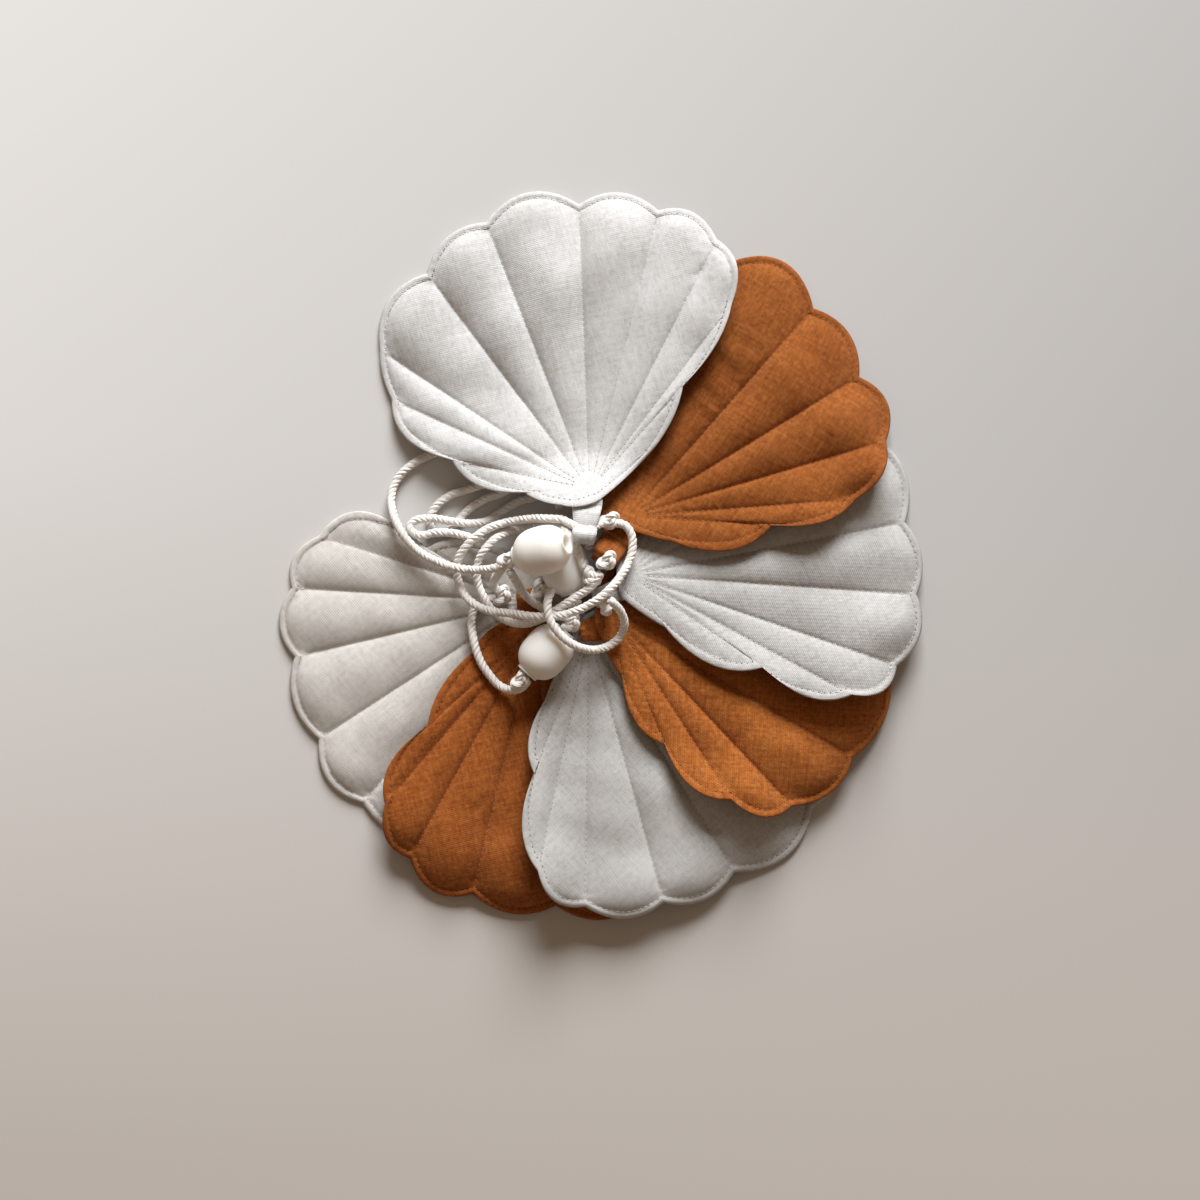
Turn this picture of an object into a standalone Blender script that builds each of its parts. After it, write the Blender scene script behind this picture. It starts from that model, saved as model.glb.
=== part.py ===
"""Linen scallop garland, gathered into a fan and lying on a flat surface.

Quilted scallop pads, each with a small folded tab, are strung on a twisted cotton cord with
knots and barrel beads. The pads overlap like a hand of cards. Each piece is laid on the pile
of the pieces under it, so the script keeps a height map of the pile and reads from it where
the next piece rests. Units are metres, +Z is up, and the surface is at zero.
"""

import math

import bpy
import numpy as np

MM = 0.001

# Places are picked in a plan picture of the garland, in pixels, and turned into metres
PIXEL = 0.42 * MM
PICTURE_CENTRE = (594.4, 562.0)

# Pad pattern: seams run from the apex at the tab end to the notches of the scalloped edge
NOTCHES = (
    # degrees from the heading, reach from the apex in millimetres
    (9.6, 112.5),
    (27.0, 109.5),
    (43.0, 106.5),
    (54.5, 92.0),
    (64.5, 57.0),
    (93.0, 24.5),
    (148.0, 13.0),
)
LOBE_BULGES = (6.8, 6.0, 6.0, 5.8, 6.8, 5.6, 2.4, 1.2)  # millimetres, from the middle lobe outwards
SEAM_THICKNESS = 1.9 * MM
PUFF_LIMIT = 4.8 * MM
PUFF_PER_WIDTH = 0.18
PUFF_SHAPE = 0.6
PUFF_EASE = 0.7
CROWN = 0.9 * MM
PRESSED_SHARE = 0.45
FULL_FROM = 75.0 * MM  # distance from the apex past which a pad is fully padded
PRESS_REACH = 7.0 * MM
RIM_WIDTH = 5.0 * MM
RIM_HEIGHT = 1.1 * MM
LOBE_STEPS = 4
PAD_RINGS = (0.16, 0.36, 0.56, 0.76, 0.90, 0.965, 1.0)
UNDER_RINGS = (0.16, 0.36, 0.56, 0.76, 0.90)

PADS = (
    # name, cloth, apex across, apex down, heading, reach on the left and right, tab heading
    ("g", "light", 545.0, 599.0, 230.0, 1.00, 1.00, 230.0),
    ("f", "rust", 532.0, 641.0, 167.0, 1.00, 1.00, 173.0),
    ("e", "light", 590.0, 646.0, 138.5, 1.00, 1.00, 138.5),
    ("d", "rust", 612.0, 625.0, 93.5, 0.99, 1.01, 78.0),
    ("c", "light", 642.0, 580.0, 67.5, 0.99, 0.98, 67.5),
    ("b", "rust", 633.0, 513.0, 32.0, 0.98, 1.00, 32.0),
    ("a", "light", 589.0, 488.0, -13.0, 0.96, 1.02, 5.0),
)

# A laid pad clears what it covers by the first reach and comes down beside it over the second
CLEAR_REACH = 8.0 * MM
DRAPE_REACH = 8.0 * MM
LAYER_GAP = 1.1 * MM
FLOOR_LEVEL = 0.2 * MM

# Steps of the fine lattice that records a laid pad in the height map
MAP_STEPS = 36
MAP_RINGS = 150
TAB_MAP = (40, 30)

# Tab: a folded strip that comes out of the seam at the pad's narrow end and holds the cord
TAB_ROOT = 8.0 * MM
TAB_STATIONS = (
    # distance from the root, width, thickness, in millimetres
    (0.0, 11.4, 1.6),
    (3.0, 11.4, 1.8),
    (6.0, 10.4, 2.4),
    (8.5, 8.8, 3.4),
    (11.0, 7.8, 4.2),
    (12.6, 7.4, 3.8),
    (13.4, 6.4, 2.0),
)
TAB_SIDES = 8
TAB_TUCK = 4.5 * MM
TAB_PRESSED = 0.7 * MM  # how far the pad presses the tab where it covers it

# Cord
CORD_DIAMETER = 4.0 * MM
CORD_STEP = 8.0 * MM
CORD_HUMP = 7.0 * MM
CORD_CLEARANCE = 0.5 * MM
CORD_DROP = 16.0 * MM
ROUTE_STEP = 1.0 * MM

# Beads: barrels with a bore along their length
BEAD_LENGTH = 24.0 * MM
BEAD_DIAMETER = 20.0 * MM
BEAD_FACE = 9.6 * MM
BEAD_BORE = 5.0 * MM
BEAD_BORE_DEPTH = 3.0 * MM
BEAD_SIDES = 16
BEAD_RINGS = 7
BEAD_SHOULDER = 2.8  # how square the barrel's shoulders are
SKIN_STEPS = 60  # rings and sides of the fine skin that rests on the pile

# Knots: overhand knots, as lumps with a spiral ridge
KNOT_SIZE = (9.0 * MM, 7.0 * MM, 6.4 * MM)
KNOT_SIDES = 8
KNOT_RINGS = 6
KNOT_RIDGE = 0.07
KNOT_CLEARANCE = 1.2 * MM
KNOT_SINK = 0.9 * MM  # how far the rounded end of a knot enters the mouth of a bore

# Height that a tab, bead or knot keeps over what it lies on
REST_GAP = 0.4 * MM

BEADS = {
    # across, down, turn of the bore from the picture's right, tilt of its right end
    "bead_low": (565.0, 567.0, -74.0, 0.0),
    "bead_front": (547.0, 651.0, 48.0, 0.0),
    "bead_top": (543.5, 552.0, 15.0, 24.0),
}

# A knot sits at an end of a bead, or where the plan picture shows it
BEAD_KNOTS = (
    # name, bead, which end along its bore
    ("knot_low_near", "bead_low", 1),
    ("knot_front_near", "bead_front", -1),
    ("knot_front_far", "bead_front", 1),
    ("knot_top_left", "bead_top", -1),
)
FREE_KNOTS = (
    # name, across, down, turn in degrees
    ("knot_side", 591.0, 577.0, -50.0),
    ("knot_right_loop", 606.0, 604.0, 110.0),
    ("knot_cluster", 503.0, 596.0, 60.0),
    ("knot_ring_end", 607.0, 562.0, 40.0),
    ("knot_tab", 609.0, 522.0, 20.0),
)

CORD_ROUTES = {
    # places across and down in the plan picture, from one end of each stretch to the other
    "cord_floor_loop": (
        (548, 462), (524, 480), (502, 493), (486, 499), (470, 509), (458, 521), (447, 533),
        (434, 532), (430, 519), (438, 505), (452, 495), (470, 489), (494, 480), (514, 464),
    ),
    "cord_link": (
        (512, 572), (518, 582), (525, 594), (535, 603), (547, 609), (558, 614), (568, 618),
    ),
    "cord_left_loop": (
        (529, 679), (522, 687), (511, 689), (499, 684), (490, 674), (482, 662), (477, 649),
        (474, 636), (472, 622), (475, 608), (484, 600), (496, 598),
    ),
    "cord_right_loop": (
        (610, 600), (620, 611), (624, 624), (619, 637), (607, 646), (593, 649), (579, 646),
        (567, 639), (557, 629), (550, 616), (549, 601), (553, 590),
    ),
    "cord_narrow_loop": (
        (489, 545), (474, 539), (456, 534), (438, 533), (421, 536), (411, 529), (417, 521),
        (434, 519), (453, 522), (471, 524), (488, 521), (502, 512), (518, 502), (536, 497),
        (552, 488),
    ),
    "cord_inner_ring": (
        (584, 569), (580, 556), (575, 542), (562, 529), (547, 526), (530, 527), (512, 531),
        (496, 540), (484, 553), (478, 568), (479, 584), (486, 600), (497, 614), (512, 622),
        (529, 623), (545, 617), (560, 608), (575, 598), (590, 588), (601, 574),
    ),
    "cord_outer_ring": (
        (612, 524), (624, 526), (631, 536), (632, 549), (628, 563), (620, 577), (609, 590),
        (594, 602), (576, 611), (556, 616), (535, 616), (513, 613), (492, 611), (474, 603),
        (463, 590), (458, 574), (461, 557), (472, 542), (488, 530), (508, 523), (530, 520),
        (548, 520), (563, 521),
    ),
    "cord_outer_loop": (
        (504, 567), (489, 570), (470, 570), (453, 567), (437, 561), (422, 553), (410, 542),
        (401, 529), (395, 515), (392, 501), (394, 487), (402, 474), (415, 463), (431, 455),
        (452, 449), (476, 448), (500, 453), (524, 464), (543, 479), (555, 494), (560, 508),
    ),
}

# What lies on what, from the first piece to the last. A bead is placed where it rests, but only
# carries later pieces once its own line comes.
LAYING = (
    ("cord", "cord_floor_loop"),
    ("pad", 0),
    ("pad", 1),
    ("pad", 2),
    ("pad", 3),
    ("pad", 4),
    ("pad", 5),
    ("place", "bead_low"),
    ("carry", "bead_low"),
    ("place", "bead_front"),
    ("place", "bead_top"),
    ("knots", None),
    ("cord", "cord_left_loop"),
    ("cord", "cord_narrow_loop"),
    ("cord", "cord_link"),
    ("cord", "cord_inner_ring"),
    ("cord", "cord_outer_ring"),
    ("carry", "bead_front"),
    ("cord", "cord_right_loop"),
    ("cord", "cord_outer_loop"),
    ("pad", 6),
)

CORD_ENDS = {
    # knot at the first end and at the last end, where there is one
    "cord_floor_loop": (None, None),
    "cord_link": ("knot_top_left", "knot_front_far"),
    "cord_left_loop": ("knot_front_near", "knot_cluster"),
    "cord_right_loop": ("knot_right_loop", None),
    "cord_narrow_loop": (None, None),
    "cord_inner_ring": ("knot_side", "knot_ring_end"),
    "cord_outer_ring": ("knot_tab", None),
    "cord_outer_loop": ("knot_top_left", None),
}

LIGHT_LINEN = (0.66, 0.62, 0.57, 1.0)
RUST_LINEN = (0.42, 0.13, 0.028, 1.0)
COTTON = (0.80, 0.75, 0.68, 1.0)
BEAD_CREAM = (0.82, 0.72, 0.61, 1.0)


def plan(across, down):
    """Place of a picture pixel on the surface, in metres."""
    return np.array([
        (across - PICTURE_CENTRE[0]) * PIXEL,
        (PICTURE_CENTRE[1] - down) * PIXEL,
    ])


class Pile:
    """Height map of what has been laid so far."""

    cell = 1.0 * MM
    half = (0.150, 0.165)

    def __init__(self):
        across = int(2 * self.half[0] / self.cell) + 1
        along = int(2 * self.half[1] / self.cell) + 1
        self.top = np.zeros((across, along))

    def index(self, x, y):
        """Row and column of a place, between whole cells."""
        i = (np.asarray(x) + self.half[0]) / self.cell
        j = (np.asarray(y) + self.half[1]) / self.cell
        i = np.clip(i, 0, self.top.shape[0] - 1.001)
        j = np.clip(j, 0, self.top.shape[1] - 1.001)
        return i, j

    def read(self, x, y, field=None):
        """Value between the cells, of the pile or of another field of its size."""
        field = self.top if field is None else field
        i, j = self.index(x, y)
        i0 = i.astype(int)
        j0 = j.astype(int)
        fi = i - i0
        fj = j - j0
        low = field[i0, j0] * (1 - fj) + field[i0, j0 + 1] * fj
        high = field[i0 + 1, j0] * (1 - fj) + field[i0 + 1, j0 + 1] * fj
        return low * (1 - fi) + high * fi

    def lay(self, x, y, z):
        """Raise the pile to the top of a piece."""
        i, j = self.index(x, y)
        cells = (np.rint(i).astype(int), np.rint(j).astype(int))
        np.maximum.at(self.top, cells, z)

    def disc(self, reach):
        """Cell steps inside a circle, each with its distance from the middle."""
        count = int(reach / self.cell)
        steps = []
        for di in range(-count, count + 1):
            for dj in range(-count, count + 1):
                away = math.hypot(di, dj) * self.cell
                if away <= reach:
                    steps.append((di, dj, away))
        return steps

    def shifted(self, field, reach):
        """The field moved by each step inside a circle."""
        margin = int(reach / self.cell) + 1
        padded = np.pad(field, margin, mode="edge")
        rows, columns = field.shape
        for di, dj, _ in self.disc(reach):
            i = margin + di
            j = margin + dj
            yield padded[i:i + rows, j:j + columns]

    def widened(self, field, reach):
        """Highest value of the field inside a circle round each cell."""
        spread = field.copy()
        for part in self.shifted(field, reach):
            np.maximum(spread, part, out=spread)
        return spread

    def softened(self, field, reach):
        """Mean value of the field inside a circle round each cell."""
        total = np.zeros_like(field)
        count = 0
        for part in self.shifted(field, reach):
            total += part
            count += 1
        return total / count

    def drape(self):
        """Underside of a soft pad laid here: it clears the pile and comes down beside it."""
        base = self.softened(self.widened(self.top, CLEAR_REACH), DRAPE_REACH)
        raised = np.where(base > FLOOR_LEVEL, LAYER_GAP, 0.0)
        return base + self.softened(raised, DRAPE_REACH / 2)

    def rest(self, x, y, radius):
        """Height of the middle of a ball that lies on the pile."""
        highest = np.full(np.shape(x), radius)
        for di, dj, away in self.disc(radius):
            under = self.read(x + di * self.cell, y + dj * self.cell)
            highest = np.maximum(highest, under + math.sqrt(radius ** 2 - away ** 2))
        return highest


def notch_places(reach_left, reach_right):
    """Notches from the narrow end round the left side, the wide edge and the right side."""
    places = []
    for side, reach in ((-1, reach_left), (1, reach_right)):
        rows = NOTCHES[::-1] if side < 0 else NOTCHES
        for degrees, length in rows:
            angle = math.radians(degrees)
            away = length * MM * reach
            places.append(np.array([side * math.sin(angle) * away, math.cos(angle) * away]))
    return places


def pad_spokes(pad, steps):
    """Each spoke's straight end, bulge at the edge, swell in its lobe and lobe width."""
    places = notch_places(pad[5], pad[6])
    bulges = LOBE_BULGES[-2:0:-1] + LOBE_BULGES
    spokes = []
    for number, start in enumerate(places):
        end = places[(number + 1) % len(places)]
        chord = end - start
        width = np.hypot(*chord)
        outward = np.array([-chord[1], chord[0]]) / width
        for step in range(steps):
            t = step / steps
            swell = 4 * t * (1 - t)
            bulge = outward * swell * bulges[number] * MM
            spokes.append((start * (1 - t) + end * t, bulge, swell, width))
    return [np.array(column) for column in zip(*spokes)]


def pad_lattice(pad, steps, rings):
    """Plan places and flat shape of a pad, as arrays of spokes by rings."""
    straight, bulge, swell, width = pad_spokes(pad, steps)
    share = np.array(rings)[None, :]
    flat = straight[:, None, :] * share[..., None] + bulge[:, None, :] * share[..., None] ** 3
    heading = math.radians(pad[4])
    apex = plan(pad[2], pad[3])
    x = apex[0] + flat[..., 0] * math.cos(heading) + flat[..., 1] * math.sin(heading)
    y = apex[1] - flat[..., 0] * math.sin(heading) + flat[..., 1] * math.cos(heading)
    puff = np.minimum(PUFF_LIMIT, PUFF_PER_WIDTH * width[:, None] * share)
    puff = puff * swell[:, None] ** PUFF_SHAPE + CROWN * np.sin(math.pi * share)
    reach = np.hypot(straight[:, 0], straight[:, 1])[:, None]
    puff = puff * np.clip(reach * share / FULL_FROM, 0, 1) ** PUFF_EASE
    inside = np.clip((1 - share) * reach / RIM_WIDTH, 0, 1)
    rim = np.sqrt(1 - (1 - inside) ** 2)
    return x, y, puff, rim


def pad_cover(pile, number):
    """Where later pads press on this one, from 0 to 1."""
    cover = np.zeros_like(pile.top)
    rings = np.linspace(0.0, 1.0, MAP_RINGS)
    for pad in PADS[number + 1:]:
        x, y, _, _ = pad_lattice(pad, MAP_STEPS, rings)
        i, j = pile.index(x, y)
        cover[np.rint(i).astype(int), np.rint(j).astype(int)] = 1.0
    return pile.softened(cover, PRESS_REACH)


def add_mesh(name, points, faces, material):
    """Smooth object from points and faces in world places."""
    mesh = bpy.data.meshes.new(name)
    mesh.from_pydata([tuple(map(float, point)) for point in points], [], faces)
    mesh.validate()
    mesh.shade_smooth()
    mesh.set_sharp_from_angle(angle=math.radians(40))
    mesh.materials.append(material)
    bpy.context.scene.collection.objects.link(bpy.data.objects.new(name, mesh))


def ring_faces(rings, sides):
    """Triangles that close a stack of rings, with a point at each end."""
    faces = []
    last = rings * sides
    for side in range(sides):
        after = (side + 1) % sides
        faces.append((last, after, side))
        faces.append((last + 1, (rings - 1) * sides + side, (rings - 1) * sides + after))
        for ring in range(rings - 1):
            low = ring * sides
            high = low + sides
            faces.append((low + side, low + after, high + after))
            faces.append((low + side, high + after, high + side))
    return faces


def build_pad(number, pile, material):
    """One quilted pad, laid on the pile: rings of its top, then rings of its underside."""
    pad = PADS[number]
    field = pile.drape()
    cover = pad_cover(pile, number)

    def shape(steps, rings):
        x, y, puff, rim = pad_lattice(pad, steps, rings)
        pressed = 1 - (1 - PRESSED_SHARE) * pile.read(x, y, cover)
        thick = RIM_HEIGHT + (SEAM_THICKNESS - RIM_HEIGHT + puff * pressed) * rim
        base = pile.read(x, y, field)
        return x, y, base + thick, base + RIM_HEIGHT * (1 - rim)

    x, y, top, _ = shape(LOBE_STEPS, PAD_RINGS)
    spokes = x.shape[0]
    points = [row for ring in range(len(PAD_RINGS)) for row in zip(x[:, ring], y[:, ring], top[:, ring])]
    x, y, _, under = shape(LOBE_STEPS, UNDER_RINGS[::-1])
    for ring in range(len(UNDER_RINGS)):
        points += list(zip(x[:, ring], y[:, ring], under[:, ring]))
    apex = plan(pad[2], pad[3])
    floor = float(pile.read(apex[0], apex[1], field))
    points.append((apex[0], apex[1], floor + SEAM_THICKNESS))
    points.append((apex[0], apex[1], floor))
    add_mesh("pad_" + pad[0], points, ring_faces(len(PAD_RINGS) + len(UNDER_RINGS), spokes), material)
    x, y, top, _ = shape(MAP_STEPS, np.linspace(0.0, 1.0, MAP_RINGS))
    pile.lay(x, y, top)


def build_tab(pad, pile, material):
    """Folded tab that runs back from a pad's narrow end. Gives its top, in rows from its root."""
    heading = math.radians(pad[7])
    back = -np.array([math.sin(heading), math.cos(heading)])
    side = np.array([back[1], -back[0]])
    root = plan(pad[2], pad[3]) + back * TAB_ROOT
    away, width, thickness = (np.array(TAB_STATIONS) * MM).T

    def across(distance, reach, shares):
        """Places over the tab's width, at each distance from its root."""
        middle = root + back * distance[:, None]
        return middle[:, None, :] + side * (shares[None, :] * reach[:, None])[..., None]

    places = across(away, width, np.linspace(-0.5, 0.5, 9))
    level = pile.read(places[..., 0], places[..., 1]).max(axis=1) + REST_GAP
    level = np.maximum(level, (level + np.roll(level, 1)) / 2)
    angle = -math.tau * np.arange(TAB_SIDES) / TAB_SIDES
    corner = np.sign(np.cos(angle)) * np.abs(np.cos(angle)) ** 0.5 / 2
    ring = across(away, width, corner)
    height = level[:, None] + thickness[:, None] / 2 * (1 + np.sin(angle))[None, :]
    points = list(np.concatenate([ring, height[..., None]], axis=-1).reshape(-1, 3))
    for index in (0, -1):
        middle = root + back * away[index]
        points.append((middle[0], middle[1], level[index] + thickness[index] / 2))
    add_mesh("tab_" + pad[0], points, ring_faces(len(away), TAB_SIDES), material)
    fine = np.linspace(0, away[-1], TAB_MAP[0])
    places = across(fine, np.interp(fine, away, width), np.linspace(-0.5, 0.5, TAB_MAP[1]))
    top = np.interp(fine, away, level + thickness)[:, None] * np.ones(TAB_MAP[1])[None, :]
    return fine, places[..., 0], places[..., 1], top


def build_tab_and_pad(number, pile, cloth):
    """A pad over the root of its own tab; the rest of the tab carries what comes later."""
    pad = PADS[number]
    away, x, y, top = build_tab(pad, pile, cloth[pad[1]])
    tucked = away < TAB_TUCK
    pile.lay(x[tucked], y[tucked], top[tucked] - TAB_PRESSED)
    build_pad(number, pile, cloth[pad[1]])
    pile.lay(x[~tucked], y[~tucked], top[~tucked])


def smooth_route(route):
    """Points a step apart on a smooth curve through the route."""
    knots = np.array([plan(*place) for place in route])
    before = np.vstack([2 * knots[0] - knots[1], knots[:-1]])
    after = np.vstack([knots[1:], 2 * knots[-1] - knots[-2]])
    slopes = (after - before) / 2
    fine = []
    for index in range(len(knots) - 1):
        for t in np.linspace(0, 1, 24, endpoint=False):
            fine.append(
                (2 * t ** 3 - 3 * t ** 2 + 1) * knots[index]
                + (t ** 3 - 2 * t ** 2 + t) * slopes[index]
                + (3 * t ** 2 - 2 * t ** 3) * knots[index + 1]
                + (t ** 3 - t ** 2) * slopes[index + 1]
            )
    fine.append(knots[-1])
    return resample(np.array(fine), ROUTE_STEP)


def resample(line, step):
    """The same line with its points evenly apart."""
    lengths = np.hypot(*np.diff(line[:, :2], axis=0).T)
    if line.shape[1] == 3:
        lengths = np.linalg.norm(np.diff(line, axis=0), axis=1)
    run = np.concatenate([[0.0], np.cumsum(lengths)])
    count = max(2, int(round(run[-1] / step)) + 1)
    marks = np.linspace(0, run[-1], count)
    return np.column_stack([np.interp(marks, run, column) for column in line.T])


def window(values, reach, mode):
    """Highest or mean value within a reach along a line."""
    count = int(reach / ROUTE_STEP)
    padded = np.pad(values, count, mode="edge")
    parts = [padded[shift:shift + len(values)] for shift in range(2 * count + 1)]
    return np.max(parts, axis=0) if mode == "highest" else np.mean(parts, axis=0)


def build_cord(name, pile, knots, material):
    """A stretch of cord, laid on the pile and let down from the knots that hold its ends."""
    radius = CORD_DIAMETER / 2
    line = smooth_route(CORD_ROUTES[name])
    bare = pile.top.copy()
    for knot_name, knot in knots.items():
        if knot_name not in CORD_ENDS[name]:
            lay_knot(knot, pile)
    height = pile.rest(line[:, 0], line[:, 1], radius + CORD_CLEARANCE)
    pile.top = bare
    height = window(window(height, CORD_HUMP, "highest"), CORD_HUMP, "mean")
    away = np.arange(len(line)) * ROUTE_STEP
    for knot_name, distance in zip(CORD_ENDS[name], (away, away[-1] - away)):
        if knot_name is None:
            continue
        share = np.clip(distance / CORD_DROP, 0, 1)
        share = share * share * (3 - 2 * share)
        height = np.maximum(height, knots[knot_name]["centre"][2] * (1 - share) + height * share)
    line = np.column_stack([line, height])
    for knot_name in CORD_ENDS[name]:
        if knot_name is not None:
            line = line[outside_knot(line, knots[knot_name])]
    points = resample(line, CORD_STEP)
    curve = bpy.data.curves.new(name, "CURVE")
    curve.dimensions = "3D"
    curve.bevel_depth = radius
    curve.bevel_resolution = 2
    curve.use_fill_caps = True
    spline = curve.splines.new("POLY")
    spline.points.add(len(points) - 1)
    for point, place in zip(spline.points, points):
        point.co = (*map(float, place), 1.0)
    curve.materials.append(material)
    bpy.context.scene.collection.objects.link(bpy.data.objects.new(name, curve))
    for step in np.linspace(-1, 1, 11):
        ahead = np.gradient(line[:, :2], axis=0)
        ahead /= np.linalg.norm(ahead, axis=1)[:, None]
        x = line[:, 0] - ahead[:, 1] * radius * step
        y = line[:, 1] + ahead[:, 0] * radius * step
        pile.lay(x, y, line[:, 2] + radius * math.sqrt(1 - step * step))


def outside_knot(line, knot):
    """Which points of a line are clear of a knot."""
    local = (line - knot["centre"]) @ knot["axes"].T
    size = np.array(KNOT_SIZE) / 2 * (1 + KNOT_RIDGE) + KNOT_CLEARANCE
    return np.linalg.norm(local / size, axis=1) > 1


def axes_of(turn, tilt):
    """Rows along, across and above a piece that is turned and tilted."""
    a = math.radians(turn)
    b = math.radians(tilt)
    along = np.array([math.cos(a) * math.cos(b), math.sin(a) * math.cos(b), math.sin(b)])
    across = np.array([-math.sin(a), math.cos(a), 0.0])
    return np.array([along, across, np.cross(along, across)])


def bead_profile(steps):
    """Half outline of a barrel bead with its bore mouths, as distances along and out."""
    half = BEAD_LENGTH / 2
    turn = np.linspace(-1, 1, steps)
    along = half * np.sin(turn * math.pi / 2)
    out = BEAD_DIAMETER / 2 * (1 - np.abs(np.sin(turn * math.pi / 2)) ** BEAD_SHOULDER) ** 0.5
    out = np.maximum(out, BEAD_FACE / 2)
    bore = BEAD_BORE / 2
    along = np.concatenate([[-half + BEAD_BORE_DEPTH, -half], along, [half, half - BEAD_BORE_DEPTH]])
    out = np.concatenate([[bore, bore], out, [bore, bore]])
    return along, out


def bead_skin(bead, rings, sides):
    """Points of a bead's surface in world directions, round its middle."""
    along, out = bead_profile(rings)
    angle = np.arange(sides) / sides * math.tau
    local = np.stack([
        np.repeat(along[:, None], sides, axis=1),
        out[:, None] * np.cos(angle)[None, :],
        out[:, None] * np.sin(angle)[None, :],
    ], axis=-1)
    return local.reshape(-1, 3) @ axes_of(bead[2], bead[3])


def place_bead(name, pile):
    """Middle of a bead that lies on the pile."""
    bead = BEADS[name]
    skin = bead_skin(bead, SKIN_STEPS, SKIN_STEPS)
    place = plan(bead[0], bead[1])
    under = pile.read(skin[:, 0] + place[0], skin[:, 1] + place[1])
    level = float(np.max(under - skin[:, 2])) + REST_GAP
    return np.array([place[0], place[1], level])


def build_bead(name, centre, material):
    """One barrel bead with its bore mouths."""
    bead = BEADS[name]
    points = bead_skin(bead, BEAD_RINGS, BEAD_SIDES) + centre
    depth = axes_of(bead[2], bead[3])[0] * (BEAD_LENGTH / 2 - BEAD_BORE_DEPTH)
    points = np.vstack([points, centre - depth, centre + depth])
    add_mesh(name, points, ring_faces(BEAD_RINGS + 4, BEAD_SIDES), material)


def lay_knot(knot, pile):
    """Record a knot in the height map."""
    polar, angle = np.meshgrid(np.linspace(0, math.pi, 24), np.linspace(0, math.tau, 24))
    local = np.stack([
        np.cos(polar) * KNOT_SIZE[0] / 2,
        np.sin(polar) * np.cos(angle) * KNOT_SIZE[1] / 2,
        np.sin(polar) * np.sin(angle) * KNOT_SIZE[2] / 2,
    ], axis=-1).reshape(-1, 3)
    skin = local @ knot["axes"] + knot["centre"]
    pile.lay(skin[:, 0], skin[:, 1], skin[:, 2])


def build_knot(name, knot, material):
    """One overhand knot as a lump with a spiral ridge."""
    points = []
    for ring in range(KNOT_RINGS):
        polar = math.pi * (ring + 1) / (KNOT_RINGS + 1)
        for side in range(KNOT_SIDES):
            angle = math.tau * side / KNOT_SIDES
            swell = 1 + KNOT_RIDGE * math.sin(2 * angle + 2 * polar)
            local = np.array([
                -math.cos(polar) * KNOT_SIZE[0] / 2,
                math.sin(polar) * math.cos(angle) * KNOT_SIZE[1] / 2 * swell,
                math.sin(polar) * math.sin(angle) * KNOT_SIZE[2] / 2 * swell,
            ])
            points.append(knot["centre"] + local @ knot["axes"])
    for end in (-1, 1):
        points.append(knot["centre"] + knot["axes"][0] * KNOT_SIZE[0] / 2 * end)
    add_mesh(name, points, ring_faces(KNOT_RINGS, KNOT_SIDES), material)


def make_material(name, colour, roughness):
    """Plain material in one colour."""
    material = bpy.data.materials.new(name)
    material.use_nodes = True
    shader = material.node_tree.nodes["Principled BSDF"]
    shader.inputs["Base Color"].default_value = colour
    shader.inputs["Roughness"].default_value = roughness
    shader.inputs["Metallic"].default_value = 0.0
    return material


def place_knots(beads, pile):
    """Middle and axes of every knot: at the bore of its bead, or lying on the pile."""
    knots = {}
    for name, bead, end in BEAD_KNOTS:
        axes = axes_of(*BEADS[bead][2:])
        away = (BEAD_LENGTH + KNOT_SIZE[0]) / 2 - KNOT_SINK
        knots[name] = {"centre": beads[bead] + axes[0] * away * end, "axes": axes}
    for name, across, down, turn in FREE_KNOTS:
        place = plan(across, down)
        level = float(pile.rest(place[0], place[1], KNOT_SIZE[2] / 2 + REST_GAP))
        knots[name] = {"centre": np.array([*place, level]), "axes": axes_of(turn, 0.0)}
    return knots


def main():
    for item in list(bpy.data.objects):
        bpy.data.objects.remove(item, do_unlink=True)
    cloth = {
        "light": make_material("light linen", LIGHT_LINEN, 0.92),
        "rust": make_material("rust linen", RUST_LINEN, 0.9),
    }
    cotton = make_material("cotton cord", COTTON, 0.85)
    cream = make_material("cream bead", BEAD_CREAM, 0.4)
    pile = Pile()
    beads = {}
    knots = {}
    for step, what in LAYING:
        if step == "cord":
            build_cord(what, pile, knots, cotton)
        elif step == "pad":
            build_tab_and_pad(what, pile, cloth)
        elif step == "place":
            beads[what] = place_bead(what, pile)
        elif step == "carry":
            skin = bead_skin(BEADS[what], SKIN_STEPS, SKIN_STEPS) + beads[what]
            pile.lay(skin[:, 0], skin[:, 1], skin[:, 2])
        else:
            knots = place_knots(beads, pile)
    for name, centre in beads.items():
        build_bead(name, centre, cream)
    for name, knot in knots.items():
        build_knot(name, knot, cotton)


main()
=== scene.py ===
"""Linen scallop garland: the looks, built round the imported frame.

Quilted linen pads, folded tabs, twisted rope, knots and barrel beads are laid one on another on
a height map. Beads, knots and cords have the places of the part's own source. The outlines of the
pads follow the notches that the picture shows. Units are metres, +Z is up.
"""

import math

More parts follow.
